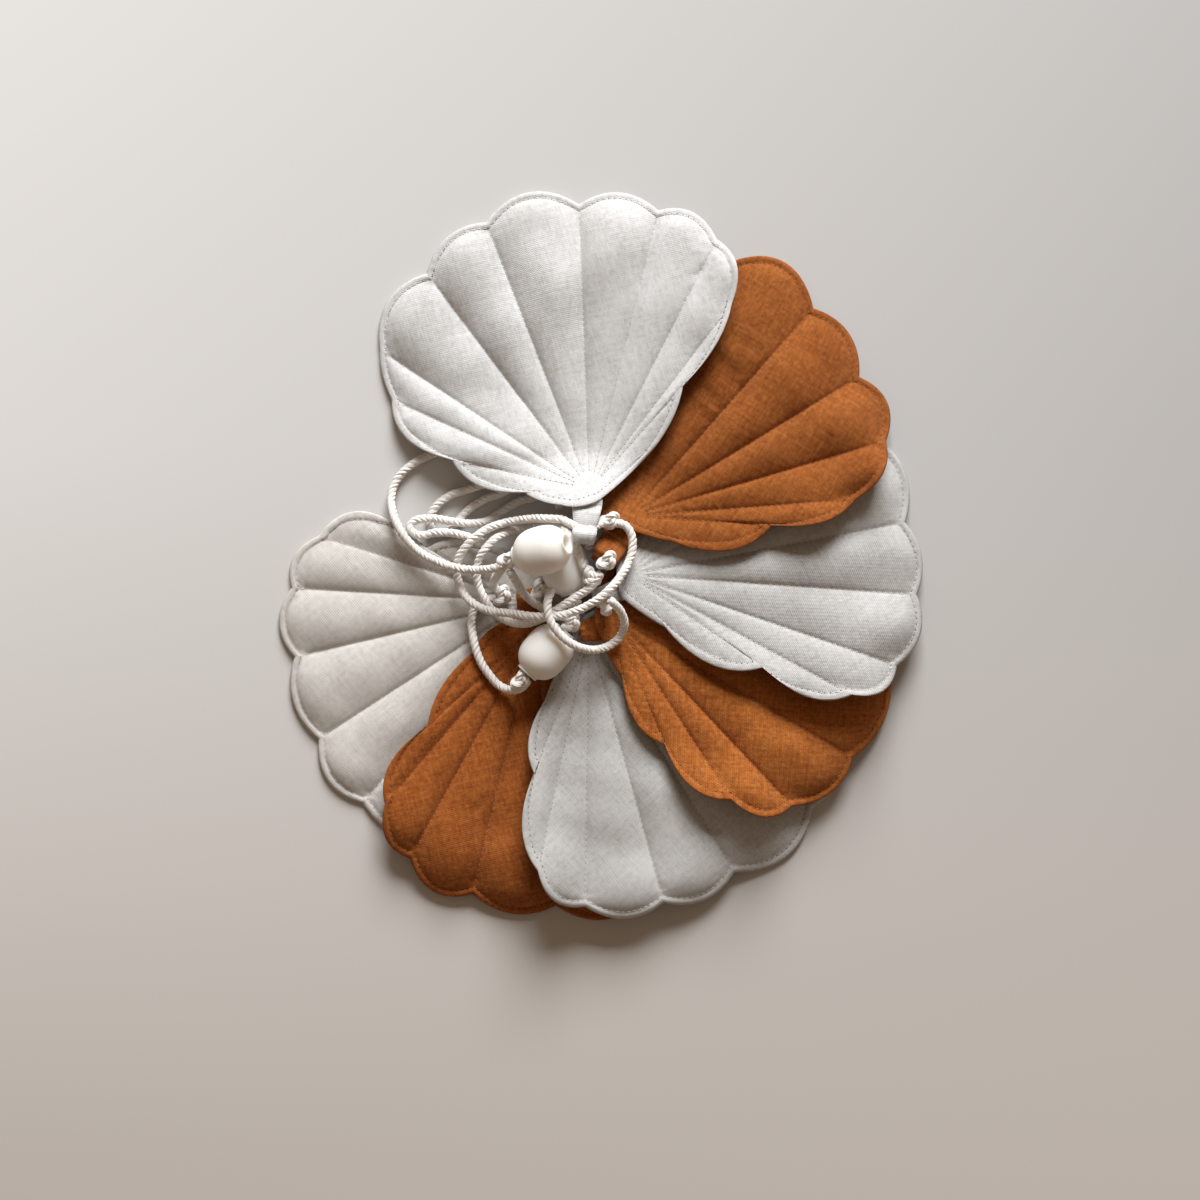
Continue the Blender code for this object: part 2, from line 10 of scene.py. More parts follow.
import bpy
import numpy as np
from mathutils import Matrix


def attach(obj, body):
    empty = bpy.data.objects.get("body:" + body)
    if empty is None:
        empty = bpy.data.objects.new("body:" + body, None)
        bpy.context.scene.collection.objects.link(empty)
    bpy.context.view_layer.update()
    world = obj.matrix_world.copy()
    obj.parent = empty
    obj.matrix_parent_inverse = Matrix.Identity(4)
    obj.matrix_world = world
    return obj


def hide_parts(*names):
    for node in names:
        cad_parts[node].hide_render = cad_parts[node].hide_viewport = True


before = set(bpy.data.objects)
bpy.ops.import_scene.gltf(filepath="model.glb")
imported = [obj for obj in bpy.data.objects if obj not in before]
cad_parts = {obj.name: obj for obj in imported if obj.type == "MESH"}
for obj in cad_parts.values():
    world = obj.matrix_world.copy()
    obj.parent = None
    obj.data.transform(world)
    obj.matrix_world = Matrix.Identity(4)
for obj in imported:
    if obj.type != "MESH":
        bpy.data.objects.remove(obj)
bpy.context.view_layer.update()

MM = 0.001

# Places are given in the picture, in its pixels, and turned into metres
PIXEL = 0.42 * MM
PICTURE_CENTRE = (594.4, 562.0)
PICTURE_SIDE = 1200

# Camera: straight above the middle of the picture
CAMERA_HEIGHT = 1.2
SENSOR = 36.0

# Pad pattern: seams run from the apex at the tab end to the notches of the scalloped edge
NOTCHES = (
    # degrees from the heading, reach from the apex in millimetres
    (9.6, 112.5),
    (27.0, 109.5),
    (43.0, 106.5),
    (54.5, 92.0),
    (64.5, 57.0),
    (93.0, 24.5),
    (148.0, 13.0),
)
LOBE_BULGES = (6.8, 6.0, 6.0, 5.8, 6.8, 5.6, 2.4, 1.2)  # millimetres, from the middle lobe outwards
FIRST_SEAM = 2
LAST_SEAM = 11
PADS = (
    # name, cloth, apex across, apex down, heading, reach on the left and right, tab heading
    ("g", "light", 545.0, 599.0, 230.0, 1.00, 1.00, 230.0),
    ("f", "rust", 532.0, 641.0, 167.0, 1.00, 1.00, 173.0),
    ("e", "light", 590.0, 646.0, 138.5, 1.00, 1.00, 138.5),
    ("d", "rust", 612.0, 625.0, 93.5, 0.99, 1.01, 78.0),
    ("c", "light", 642.0, 580.0, 67.5, 0.99, 0.98, 67.5),
    ("b", "rust", 633.0, 513.0, 32.0, 0.98, 1.00, 32.0),
    ("a", "light", 589.0, 488.0, -13.0, 0.96, 1.02, 5.0),
)

# Notches that the picture shows: number of the first one, counted from the narrow end round the
# left side, and then their places
SEEN_NOTCHES = {
    "a": (0, (562, 507), (525, 494), (453, 461), (392, 400), (380, 350), (427, 274), (486, 223),
          (579, 205), (658, 212), (716, 242), (730, 308), (682, 388), (656, 447), (602, 500)),
    "b": (6, (722, 266), (813, 309), (858, 378), (883, 443), (852, 501), (770, 526), (672, 543),
          (628, 530), (606, 520)),
    "c": (6, (868, 434), (904, 523), (915, 595), (894, 665), (847, 693), (761, 666), (664, 627),
          (622, 598), (617, 561)),
    "d": (7, (890, 672), (851, 757), (790, 804), (729, 796), (664, 743), (622, 676), (601, 636),
          (596, 606)),
    "e": (6, (812, 808), (734, 871), (663, 900), (585, 903), (539, 866), (535, 771), (545, 700),
          (566, 652)),
    "f": (6, (640, 903), (556, 905), (473, 893), (411, 857), (387, 802), (429, 726)),
    "g": (6, (363, 803), (319, 739), (295, 657), (292, 588), (319, 536), (425, 550)),
}
# Lobes whose bulge differs from the pattern, numbered by the notch that they start at, in millimetres
SEEN_BULGES = {
    "a": {0: 1.2, 2: 7.5, 3: 1.5, 4: 8.0, 6: 9.0, 7: 6.5, 9: 5.5, 10: 3.4, 11: 1.8, 12: 0.8, 13: 2.0},
    "b": {6: 12.5, 7: 6.8, 8: 7.2, 9: 4.9, 10: 5.4, 11: 7.8, 12: 0.5},
    "c": {6: 8.4, 7: 4.9, 11: 7.6, 12: 0.6, 13: 1.2},
    "d": {7: 5.8, 12: 1.0, 13: 1.5},
    "e": {6: 9.1, 10: 6.2, 11: 4.5, 12: 0.5},
    "f": {6: 6.6, 8: 7.4, 11: 4.0},
    "g": {9: 5.4, 10: 13.5},
}
# Where the seams of each pad meet, across and down in the picture
HUBS = {
    "a": (590.0, 491.0),
    "b": (630.0, 517.0),
    "c": (629.0, 575.0),
    "d": (612.0, 615.0),
    "e": (589.0, 632.0),
    "f": (537.0, 627.0),
    "g": (530.0, 602.0),
}

# Tone of each pad's cloth against its linen. Partly the cloth's own tone and partly painted light and
# shade: pads that lie low or in shade are darker, lit ones lighter
TINTS_AND_PAINTED_SHADE = {
    "a": (1.06, 1.055, 1.05),
    "b": (0.88, 0.88, 0.88),
    "c": (0.86, 0.845, 0.83),
    "d": (1.12, 1.15, 1.17),
    "e": (0.88, 0.865, 0.85),
    "f": (1.0, 0.96, 0.92),
    "g": (1.06, 1.02, 0.97),
}

# Pad thickness
SEAM_THICKNESS = 1.2 * MM
EDGE_THICKNESS = 0.9 * MM
ROLL_HEIGHT = 0.8 * MM
PUFF_LIMIT = 13.5 * MM
PUFF_WIDTH = 20.0 * MM
PUFF_SHARES = {"a": 0.95, "b": 1.05, "c": 0.8, "d": 1.05, "e": 0.66, "f": 1.0, "g": 0.74}
PUFF_SHAPE = 0.95
PUFF_EASE = 0.9
CROWN = 1.6 * MM
PRESSED_SHARE = 0.5
FLAT_UNTIL = 5.0 * MM
FULL_FROM = 36.0 * MM
PRESS_REACH = 7.0 * MM
TOPSTITCH_INSET = 2.6 * MM
RISE_WIDTH = 10.0 * MM
RISE_SHAPE = 0.62
SEAM_DIP = 0.35 * MM
SEAM_WIDTH = 1.0 * MM

# Puckers along the seams, and waves of the rim and of the cloth
PUCKER_HEIGHT = 0.22 * MM
PUCKER_LENGTH = 4.2 * MM
PUCKER_REACH = 4.0 * MM
PUCKER_PATCH = 14.0 * MM
PUCKER_SWING = 9.0 * MM
PUCKER_FULL = 30.0 * MM
RIM_WAVES = 7
RIM_PATCH = 20.0 * MM
RIM_REACH = 2.4 * MM
SWELL_WAVE = 0.3 * MM
SWELL_PATCH = 26.0 * MM
UNDER_HOLLOW = 0.5 * MM

# How far a free edge stands off what it covers, and over what reach
EDGE_LIFT = 0.8 * MM
OVERLAP_LIFT = 7.5 * MM
OVERLAP_FROM = 9.0 * MM
OVERLAP_REACH = 16.0 * MM
LIFT_FROM = 0.4
LIFT_SHAPE = 1.7
LIFT_REACH = 70.0 * MM
LIFT_WAVE = 45.0 * MM
COVER_WEIGHT = 2.5

# Pad lattice
SPOKE_STEP = 1.25 * MM
SPOKE_CROWD = 0.65
RINGS_INSIDE = 60
RINGS_AT_EDGE = 15
EDGE_SHARE = 0.93
INNER_SHARE = 0.02
LEAST_FACING = 0.45
FACING_SPOKES = 4
BULGE_LEAN = 0.4
FAR_FROM_SEAM = 10.0 * MM
UNDER_RINGS = 24
UNDER_CROWD = 1.6

# Stitches
STITCH_PITCH = 2.4 * MM
STITCH_RADIUS = 0.2 * MM
STITCH_SIDES = 4
HOLE_RADIUS = 0.52 * MM
STITCHES_FROM = 7.0 * MM
HOLE_SIDES = 5
HOLE_DEPTH = 0.2 * MM
HOLE_CROWN = 0.22 * MM
# along one stitch, from end to end: place, height above the cloth and thickness of the thread
STITCH_MARKS = (-0.5, -0.3, 0.3, 0.5)
STITCH_RISE = (-0.15 * MM, 0.10 * MM, 0.10 * MM, -0.15 * MM)
STITCH_TAPER = (0.7, 1.0, 1.0, 0.7)

# A laid pad clears what it covers by the first reach and comes down beside it over the second
CLEAR_REACH = 10.0 * MM
DRAPE_REACH = 13.0 * MM
LAYER_GAP = 1.1 * MM
FLOOR_LEVEL = 0.2 * MM
MAP_STEPS = 36
MAP_RINGS = 150

# Tab: a folded strip sewn into the pad's narrow end
TAB_ROOT = 8.0 * MM
TAB_STATIONS = (
    # distance from the root, width, thickness, in millimetres
    (0.0, 10.4, 1.8),
    (3.0, 9.6, 2.0),
    (6.0, 8.8, 3.0),
    (8.5, 8.4, 4.4),
    (11.0, 8.4, 5.2),
    (12.6, 7.8, 4.6),
    (13.4, 7.0, 3.0),
)
TAB_SHAPES = {
    # length, width and thickness as shares of the stations, and rise above the pad's edge
    "a": (1.08, 1.2, 1.5, 4.6 * MM),
    "b": (1.2, 1.4, 1.5, 0.0),
    "d": (0.45, 0.98, 0.8, 0.0),
}
TAB_EYE = 10.5 * MM
TAB_ROUND = 2.2
TAB_DROP = 0.8
TAB_TUCK = 4.5 * MM
TAB_PRESSED = 0.7 * MM
TAB_CLOTH = 0.35 * MM  # half the thickness of the strip
TAB_IN_PAD = 3.0 * MM
TAB_END = 2.0 * MM
TAB_SWELL = 0.4
TAB_FLATTEN = 0.97
TAB_FOLDS = 19.0
TAB_FOLD_HEIGHT = 0.3 * MM
TAB_MAP = (40, 30)
TAB_LINES = (26, 10, 21)  # along each side of the fold, round its end, and across

# Cord
CORD_DIAMETER = 4.0 * MM
CORD_HUMP = 7.0 * MM
CORD_CLEARANCE = 0.5 * MM
CORD_DROP = 16.0 * MM
ROUTE_STEP = 1.0 * MM
ROPE_DIAMETER = 3.75 * MM
ROPE_PITCH = 6.9 * MM
ROPE_SIDES = 9
ROPE_STEP = 0.9 * MM
STRAND_OFFSET = 0.9
STRAND_WIDTH = 1.16
STRAND_HEIGHT = 1.1
CORD_INTO_KNOT = 2.2 * MM
CORD_STRIPS = 11
CURVE_STEPS = 24

# Beads
BEAD_LENGTH = 24.0 * MM
BEAD_DIAMETER = 20.0 * MM
BEAD_FACE = 9.6 * MM
BEAD_BORE = 5.0 * MM
BEAD_SHOULDER = 2.8
BEAD_SIDES = 72
BEAD_RINGS = 48
SKIN_STEPS = 60
# distance in from the bead's end and outside the bore, in millimetres
BEAD_LIP = ((0.05, 1.2), (0.3, 0.54), (0.9, 0.1), (3.0, 0.0))

# Knots
KNOT_SIZE = (9.0 * MM, 7.0 * MM, 6.4 * MM)
KNOT_ROPE = 3.3 * MM
KNOT_FULLNESS = 1.12
KNOT_SINK = 0.9 * MM
REST_GAP = 0.4 * MM
KNOT_PITCH = 0.9 * ROPE_PITCH
KNOT_STEPS = 160
KNOT_STEP = 0.55 * MM
KNOT_SIDES = 8
KNOT_SKIN = 24
KNOT_SPREAD = (2.76, 3.0)  # half widths of the knot's own curve
TAIL_STEP = 0.8 * MM
TAIL_RISE = 1.5 * MM
TAIL_CORNER = (494, 582)
LOOP_TAIL = (604, 613)

BEADS = {
    # across, down, turn of the bore from the picture's right, tilt of its right end
    "bead_low": (565.0, 567.0, -74.0, 0.0),
    "bead_front": (547.0, 651.0, 48.0, 0.0),
    "bead_top": (543.5, 552.0, 15.0, 24.0),
}
BEAD_KNOTS = (
    # name, bead, which end along its bore
    ("knot_low_near", "bead_low", 1),
    ("knot_front_near", "bead_front", -1),
    ("knot_front_far", "bead_front", 1),
    ("knot_top_left", "bead_top", -1),
)
FREE_KNOTS = (
    # name, across, down, turn in degrees
    ("knot_side", 591.0, 577.0, -50.0),
    ("knot_right_loop", 606.0, 604.0, 110.0),
    ("knot_cluster", 503.0, 596.0, 60.0),
    ("knot_ring_end", 607.0, 562.0, 40.0),
    ("knot_tab", 609.0, 522.0, 20.0),
)
LOW_KNOTS = (
    # small lumps of cord that show between the larger pieces: name, across, down, turn
    ("under_tab", 588.0, 542.0, -20.0),
    ("under_bead", 540.0, 590.0, 70.0),
)
CORD_ROUTES = {
    # places across and down in the plan picture, from one end of each stretch to the other
    "cord_floor_loop": (
        (548, 462), (524, 480), (502, 493), (486, 499), (470, 509), (458, 521), (447, 533),
        (434, 532), (430, 519), (438, 505), (452, 495), (470, 489), (494, 480), (514, 464),
    ),
    "cord_link": (
        (512, 572), (518, 582), (525, 594), (535, 603), (547, 609), (558, 614), (568, 618),
    ),
    "cord_left_loop": (
        (529, 679), (522, 687), (511, 689), (499, 684), (490, 674), (482, 662), (477, 649),
        (474, 636), (472, 622), (475, 608), (484, 600), (496, 598),
    ),
    "cord_right_loop": (
        (610, 600), (620, 611), (624, 624), (619, 637), (607, 646), (593, 649), (579, 646),
        (567, 639), (557, 629), (550, 616), (549, 601), (553, 590),
    ),
    "cord_narrow_loop": (
        (489, 545), (474, 539), (456, 534), (438, 533), (421, 536), (411, 529), (417, 521),
        (434, 519), (453, 522), (471, 524), (488, 521), (502, 512), (518, 502), (536, 497),
        (552, 488),
    ),
    "cord_inner_ring": (
        (584, 569), (580, 556), (575, 542), (562, 529), (547, 526), (530, 527), (512, 531),
        (496, 540), (484, 553), (478, 568), (479, 584), (486, 600), (497, 614), (512, 622),
        (529, 623), (545, 617), (560, 608), (575, 598), (590, 588), (601, 574),
    ),
    "cord_outer_ring": (
        (612, 524), (624, 526), (631, 536), (632, 549), (628, 563), (620, 577), (609, 590),
        (594, 602), (576, 611), (556, 616), (535, 616), (513, 613), (492, 611), (474, 603),
        (463, 590), (458, 574), (461, 557), (472, 542), (488, 530), (508, 523), (530, 520),
        (548, 520), (563, 521),
    ),
    "cord_outer_loop": (
        (504, 567), (489, 570), (470, 570), (453, 567), (437, 561), (422, 553), (410, 542),
        (401, 529), (395, 515), (392, 501), (394, 487), (402, 474), (415, 463), (431, 455),
        (452, 449), (476, 448), (500, 453), (524, 464), (543, 479), (555, 494), (560, 508),
    ),
}
CORD_ENDS = {
    # knot at the first end and at the last end, where there is one
    "cord_floor_loop": (None, None),
    "cord_link": ("knot_top_left", "knot_front_far"),
    "cord_left_loop": ("knot_front_near", "knot_cluster"),
    "cord_right_loop": ("knot_right_loop", None),
    "cord_narrow_loop": (None, None),
    "cord_inner_ring": ("knot_side", "knot_ring_end"),
    "cord_outer_ring": ("knot_tab", None),
    "cord_outer_loop": ("knot_top_left", None),
}

# What lies on what, from the first piece to the last. A bead is placed where it rests, but only
# carries later pieces once its own line comes.
LAYING = (
    ("cord", "cord_floor_loop"),
    *(("pad", number) for number in range(6)),
    ("place", "bead_low"),
    ("carry", "bead_low"),
    ("place", "bead_front"),
    ("place", "bead_top"),
    ("knots", None),
    ("cord", "cord_left_loop"),
    ("cord", "cord_narrow_loop"),
    ("cord", "cord_link"),
    ("cord", "cord_inner_ring"),
    ("cord", "cord_outer_ring"),
    ("carry", "bead_front"),
    ("cord", "cord_right_loop"),
    ("cord", "cord_outer_loop"),
    ("pad", 6),
)

# Pull creases in the pads: pad, from and to in picture pixels, width and depth in millimetres
CREASES = (
    ("b", 706, 350, 738, 378, 2.0, 1.4),
    ("b", 714, 368, 744, 396, 1.8, 1.1),
    ("b", 694, 384, 722, 412, 1.8, 1.1),
    ("b", 728, 336, 760, 356, 1.8, 0.8),
    ("b", 690, 404, 712, 424, 1.6, 0.8),
    ("d", 736, 742, 752, 726, 1.6, 0.7),
    ("f", 474, 812, 486, 796, 1.6, 0.7),
    ("a", 688, 282, 706, 270, 1.6, 0.5),
)

# Looks
WEAVE_DEPTH = 0.16 * MM
YARN_PITCH = 3.2 * MM
YARNS = 5
LINEN_TONES = {
    "light": ((0.52, 0.50, 0.48), (0.71, 0.70, 0.69), (0.87, 0.87, 0.87)),
    "rust": ((0.20, 0.042, 0.005), (0.39, 0.112, 0.019), (0.60, 0.215, 0.050)),
}

# Stage: painted light and shade on the floor, paler at the left, darker at the right and darker and warmer
# below; its tones change over these distances across and along, in metres
FLOOR_HALF = 8.0
PAINTED_FLOOR_SHADE_ACROSS = (-0.25, 0.25)
PAINTED_FLOOR_SHADE_ALONG = (0.05, -0.25)
FLOOR_PAINTED_LIGHT_LEFT = (0.71, 0.695, 0.68, 1)
FLOOR_PAINTED_SHADE_RIGHT = (0.48, 0.465, 0.455, 1)
FLOOR_PAINTED_WARM_SHADE_NEAR = (0.56, 0.515, 0.475, 1)
WINDOW_PLACE = (0.362, 2.573, 1.45)
WINDOW_SIZE = 1.5
WINDOW_POWER = 164.0
WINDOW_COLOUR = (0.945, 0.975, 1.0)
SURROUND_COLOUR = (1.0, 0.75, 0.54, 1)
SURROUND_POWER = 0.22


def plan(across, down):
    """Place of a picture pixel on the surface, in metres."""
    return np.array([
        (across - PICTURE_CENTRE[0]) * PIXEL,
        (PICTURE_CENTRE[1] - down) * PIXEL,
    ])


def eased(share):
    """Share between 0 and 1 with a soft start and end."""
    share = np.clip(share, 0, 1)
    return share * share * (3 - 2 * share)


def ripple(x, y, length, seed, waves=10):
    """Smooth seeded waves of about this length, from -1 to 1 or so."""
    draw = np.random.default_rng(seed)
    total = np.zeros(np.shape(x))
    for _ in range(waves):
        angle = draw.uniform(0, math.tau)
        number = math.tau / (length * draw.uniform(0.7, 1.6))
        phase = draw.uniform(0, math.tau)
        total = total + np.sin((x * math.cos(angle) + y * math.sin(angle)) * number + phase)
    return total / math.sqrt(waves)


class Pile:
    """Height map of what has been laid so far."""

    cell = 1.0 * MM
    half = (0.150, 0.165)

    def __init__(self):
        across = int(2 * self.half[0] / self.cell) + 1
        along = int(2 * self.half[1] / self.cell) + 1
        self.top = np.zeros((across, along))

    def index(self, x, y):
        """Row and column of a place, between whole cells."""
        i = (np.asarray(x) + self.half[0]) / self.cell
        j = (np.asarray(y) + self.half[1]) / self.cell
        i = np.clip(i, 0, self.top.shape[0] - 1.001)
        j = np.clip(j, 0, self.top.shape[1] - 1.001)
        return i, j

    def read(self, x, y, field=None):
        """Value between the cells, of the pile or of another field of its size."""
        field = self.top if field is None else field
        i, j = self.index(x, y)
        i0 = i.astype(int)
        j0 = j.astype(int)
        fi = i - i0
        fj = j - j0
        low = field[i0, j0] * (1 - fj) + field[i0, j0 + 1] * fj
        high = field[i0 + 1, j0] * (1 - fj) + field[i0 + 1, j0 + 1] * fj
        return low * (1 - fi) + high * fi

    def lay(self, x, y, z):
        """Raise the pile to the top of a piece."""
        i, j = self.index(x, y)
        cells = (np.rint(i).astype(int), np.rint(j).astype(int))
        np.maximum.at(self.top, cells, z)

    def disc(self, reach):
        """Cell steps inside a circle, each with its distance from the middle."""
        count = int(reach / self.cell)
        steps = []
        for di in range(-count, count + 1):
            for dj in range(-count, count + 1):
                away = math.hypot(di, dj) * self.cell
                if away <= reach:
                    steps.append((di, dj, away))
        return steps

    def shifted(self, field, reach):
        """The field moved by each step inside a circle."""
        margin = int(reach / self.cell) + 1
        padded = np.pad(field, margin, mode="edge")
        rows, columns = field.shape
        for di, dj, _ in self.disc(reach):
            i = margin + di
            j = margin + dj
            yield padded[i:i + rows, j:j + columns]

    def widened(self, field, reach):
        """Highest value of the field inside a circle round each cell."""
        spread = field.copy()
        for part in self.shifted(field, reach):
            np.maximum(spread, part, out=spread)
        return spread

    def softened(self, field, reach):
        """Mean value of the field inside a circle round each cell."""
        total = np.zeros_like(field)
        count = 0
        for part in self.shifted(field, reach):
            total += part
            count += 1
        return total / count

    def drape(self):
        """Underside of a soft pad laid here: it clears the pile and comes down beside it."""
        base = self.softened(self.widened(self.top, CLEAR_REACH), DRAPE_REACH)
        raised = np.where(base > FLOOR_LEVEL, LAYER_GAP, 0.0)
        return base + self.softened(raised, DRAPE_REACH / 2)

    def rest(self, x, y, radius):
        """Height of the middle of a ball that lies on the pile."""
        highest = np.full(np.shape(x), radius)
        for di, dj, away in self.disc(radius):
            under = self.read(x + di * self.cell, y + dj * self.cell)
            highest = np.maximum(highest, under + math.sqrt(radius ** 2 - away ** 2))
        return highest


def notch_places(pad):
    """Notches from the narrow end round the left side, the wide edge and the right side.

    They are measured from the place where the seams meet."""
    places = []
    for side, reach in ((-1, pad[5]), (1, pad[6])):
        rows = NOTCHES[::-1] if side < 0 else NOTCHES
        for degrees, length in rows:
            angle = math.radians(degrees)
            away = length * MM * reach
            places.append(np.array([side * math.sin(angle) * away, math.cos(angle) * away]))
    first, *seen = SEEN_NOTCHES[pad[0]]
    for number, pixel in enumerate(seen):
        places[(first + number) % len(places)] = turned_to_pad(pad, pixel)
    hub = turned_to_pad(pad, HUBS[pad[0]])
    return [place - hub for place in places]


def turned_to_pad(pad, pixel):
    """Place of a picture pixel from a pad's apex, across and along its heading."""
    heading = math.radians(pad[4])
    dx, dy = plan(*pixel) - plan(pad[2], pad[3])
    return np.array([
        dx * math.cos(heading) - dy * math.sin(heading),
        dx * math.sin(heading) + dy * math.cos(heading),
    ])


def lobe_marks(width, steps):
    """Shares along a lobe's chord where its spokes end, closer together at its seams."""
    count = steps or max(4, int(round(width / SPOKE_STEP)))
    even = np.arange(count) / count
    return even if steps else even - SPOKE_CROWD / math.tau * np.sin(math.tau * even)


def quilting(lobe, t, width):
    """Share of the puff across a lobe, and distance to its nearest sewn seam."""
    sewn_before = FIRST_SEAM <= lobe <= LAST_SEAM
    sewn_after = FIRST_SEAM <= lobe + 1 <= LAST_SEAM
    if sewn_before and sewn_after:
        return 4 * t * (1 - t), min(t, 1 - t) * width
    if not sewn_before and not sewn_after:
        return 1.0, width + FAR_FROM_SEAM
    away = t if sewn_before else 1 - t
    return 1 - (1 - min(1, 2 * away)) ** 2, away * width


def pad_spokes(pad, steps=None):
    """Each spoke's straight end, bulge, puff share, distance to a seam, lobe width and lobe place."""
    places = notch_places(pad)
    bulges = LOBE_BULGES[-2:0:-1] + LOBE_BULGES
    widths = []
    for start, end in zip(places, places[1:] + places[:1]):
        widths.append(abs(start[0] * end[1] - start[1] * end[0]) / max(np.hypot(*start), np.hypot(*end)))
    spokes = []
    for number, start in enumerate(places):
        chord = places[(number + 1) % len(places)] - start
        span, width = np.hypot(*chord), widths[number]
        outward = np.array([-chord[1], chord[0]]) / span
        size = SEEN_BULGES[pad[0]].get(number, bulges[number]) * MM
        before = (widths[number - 1] + width) / 2
        after = (width + widths[(number + 1) % len(places)]) / 2
        for t in lobe_marks(span, steps):
            swell, from_seam = quilting(number, t, width)
            point = start + chord * t
            ahead = outward + BULGE_LEAN * point / np.hypot(*point)
            bulge = ahead / np.hypot(*ahead) * 4 * t * (1 - t) * size
            room = before * (1 - t) + after * t
            spokes.append((point, bulge, swell, from_seam, room, number + t))
    return [np.array(column) for column in zip(*spokes)]


def pad_lattice(pad, shares, steps=None):
    """Places and pattern values of a pad, as arrays of spokes by rings."""
    straight, bulge, swell, from_seam, width, lobe = pad_spokes(pad, steps)
    share = np.array(shares)[None, :]
    flat = straight[:, None, :] * share[..., None] + bulge[:, None, :] * share[..., None] ** 3
    heading = math.radians(pad[4])
    hub = plan(*HUBS[pad[0]])
    x = hub[0] + flat[..., 0] * math.cos(heading) + flat[..., 1] * math.sin(heading)
    y = hub[1] - flat[..., 0] * math.sin(heading) + flat[..., 1] * math.cos(heading)
    ends = straight + bulge
    reach = np.hypot(*ends.T)
    tangent = np.roll(ends, -1, axis=0) - np.roll(ends, 1, axis=0)
    facing = np.abs(np.cross(ends, tangent)) / (reach * np.hypot(*tangent.T))
    shifts = range(-FACING_SPOKES, FACING_SPOKES + 1)
    facing = np.mean([np.roll(facing, shift) for shift in shifts], axis=0)
    facing = np.clip(facing, LEAST_FACING, 1)
    return {
        "x": x,
        "y": y,
        "share": share + np.zeros_like(x),
        "inset": (1 - share) * (reach * facing)[:, None],
        "swell": swell[:, None] + np.zeros_like(x),
        "from_seam": from_seam[:, None] * share,
        "width": width[:, None] * share,
        "lobe": lobe[:, None] + np.zeros_like(x),
        "reach": reach[:, None] + np.zeros_like(x),
    }


def pad_cover(pile, number):
    """Where later pads press on this one, from 0 to 1."""
    cover = np.zeros_like(pile.top)
    for pad in PADS[number + 1:]:
        places = pad_lattice(pad, np.linspace(0.0, 1.0, MAP_RINGS), MAP_STEPS)
        i, j = pile.index(places["x"], places["y"])
        cover[np.rint(i).astype(int), np.rint(j).astype(int)] = 1.0
    return pile.softened(cover, PRESS_REACH)


def edge_lift(pile, field, cover):
    """How far a pad's free edge stands off the pads below it, from 0 to 1."""
    over = np.clip(field / OVERLAP_FROM, 0, 1) * np.clip(1 - COVER_WEIGHT * cover, 0, 1)
    return pile.softened(over, OVERLAP_REACH)


def crease_depth(pad, x, y):
    """Dents of the pull creases."""
    depth = np.zeros_like(x)
    for name, x0, y0, x1, y1, width, deep in CREASES:
        if name != pad[0]:
            continue
        start = plan(x0, y0)
        along = plan(x1, y1) - start
        t = ((x - start[0]) * along[0] + (y - start[1]) * along[1]) / (along @ along)
        near = np.clip(t, 0, 1)
        away = np.hypot(x - start[0] - near * along[0], y - start[1] - near * along[1])
        taper = np.sin(math.pi * np.clip(t * 0.9 + 0.05, 0, 1)) ** 0.5
        depth += deep * MM * np.exp(-(away / (width * MM)) ** 2) * taper
    return depth


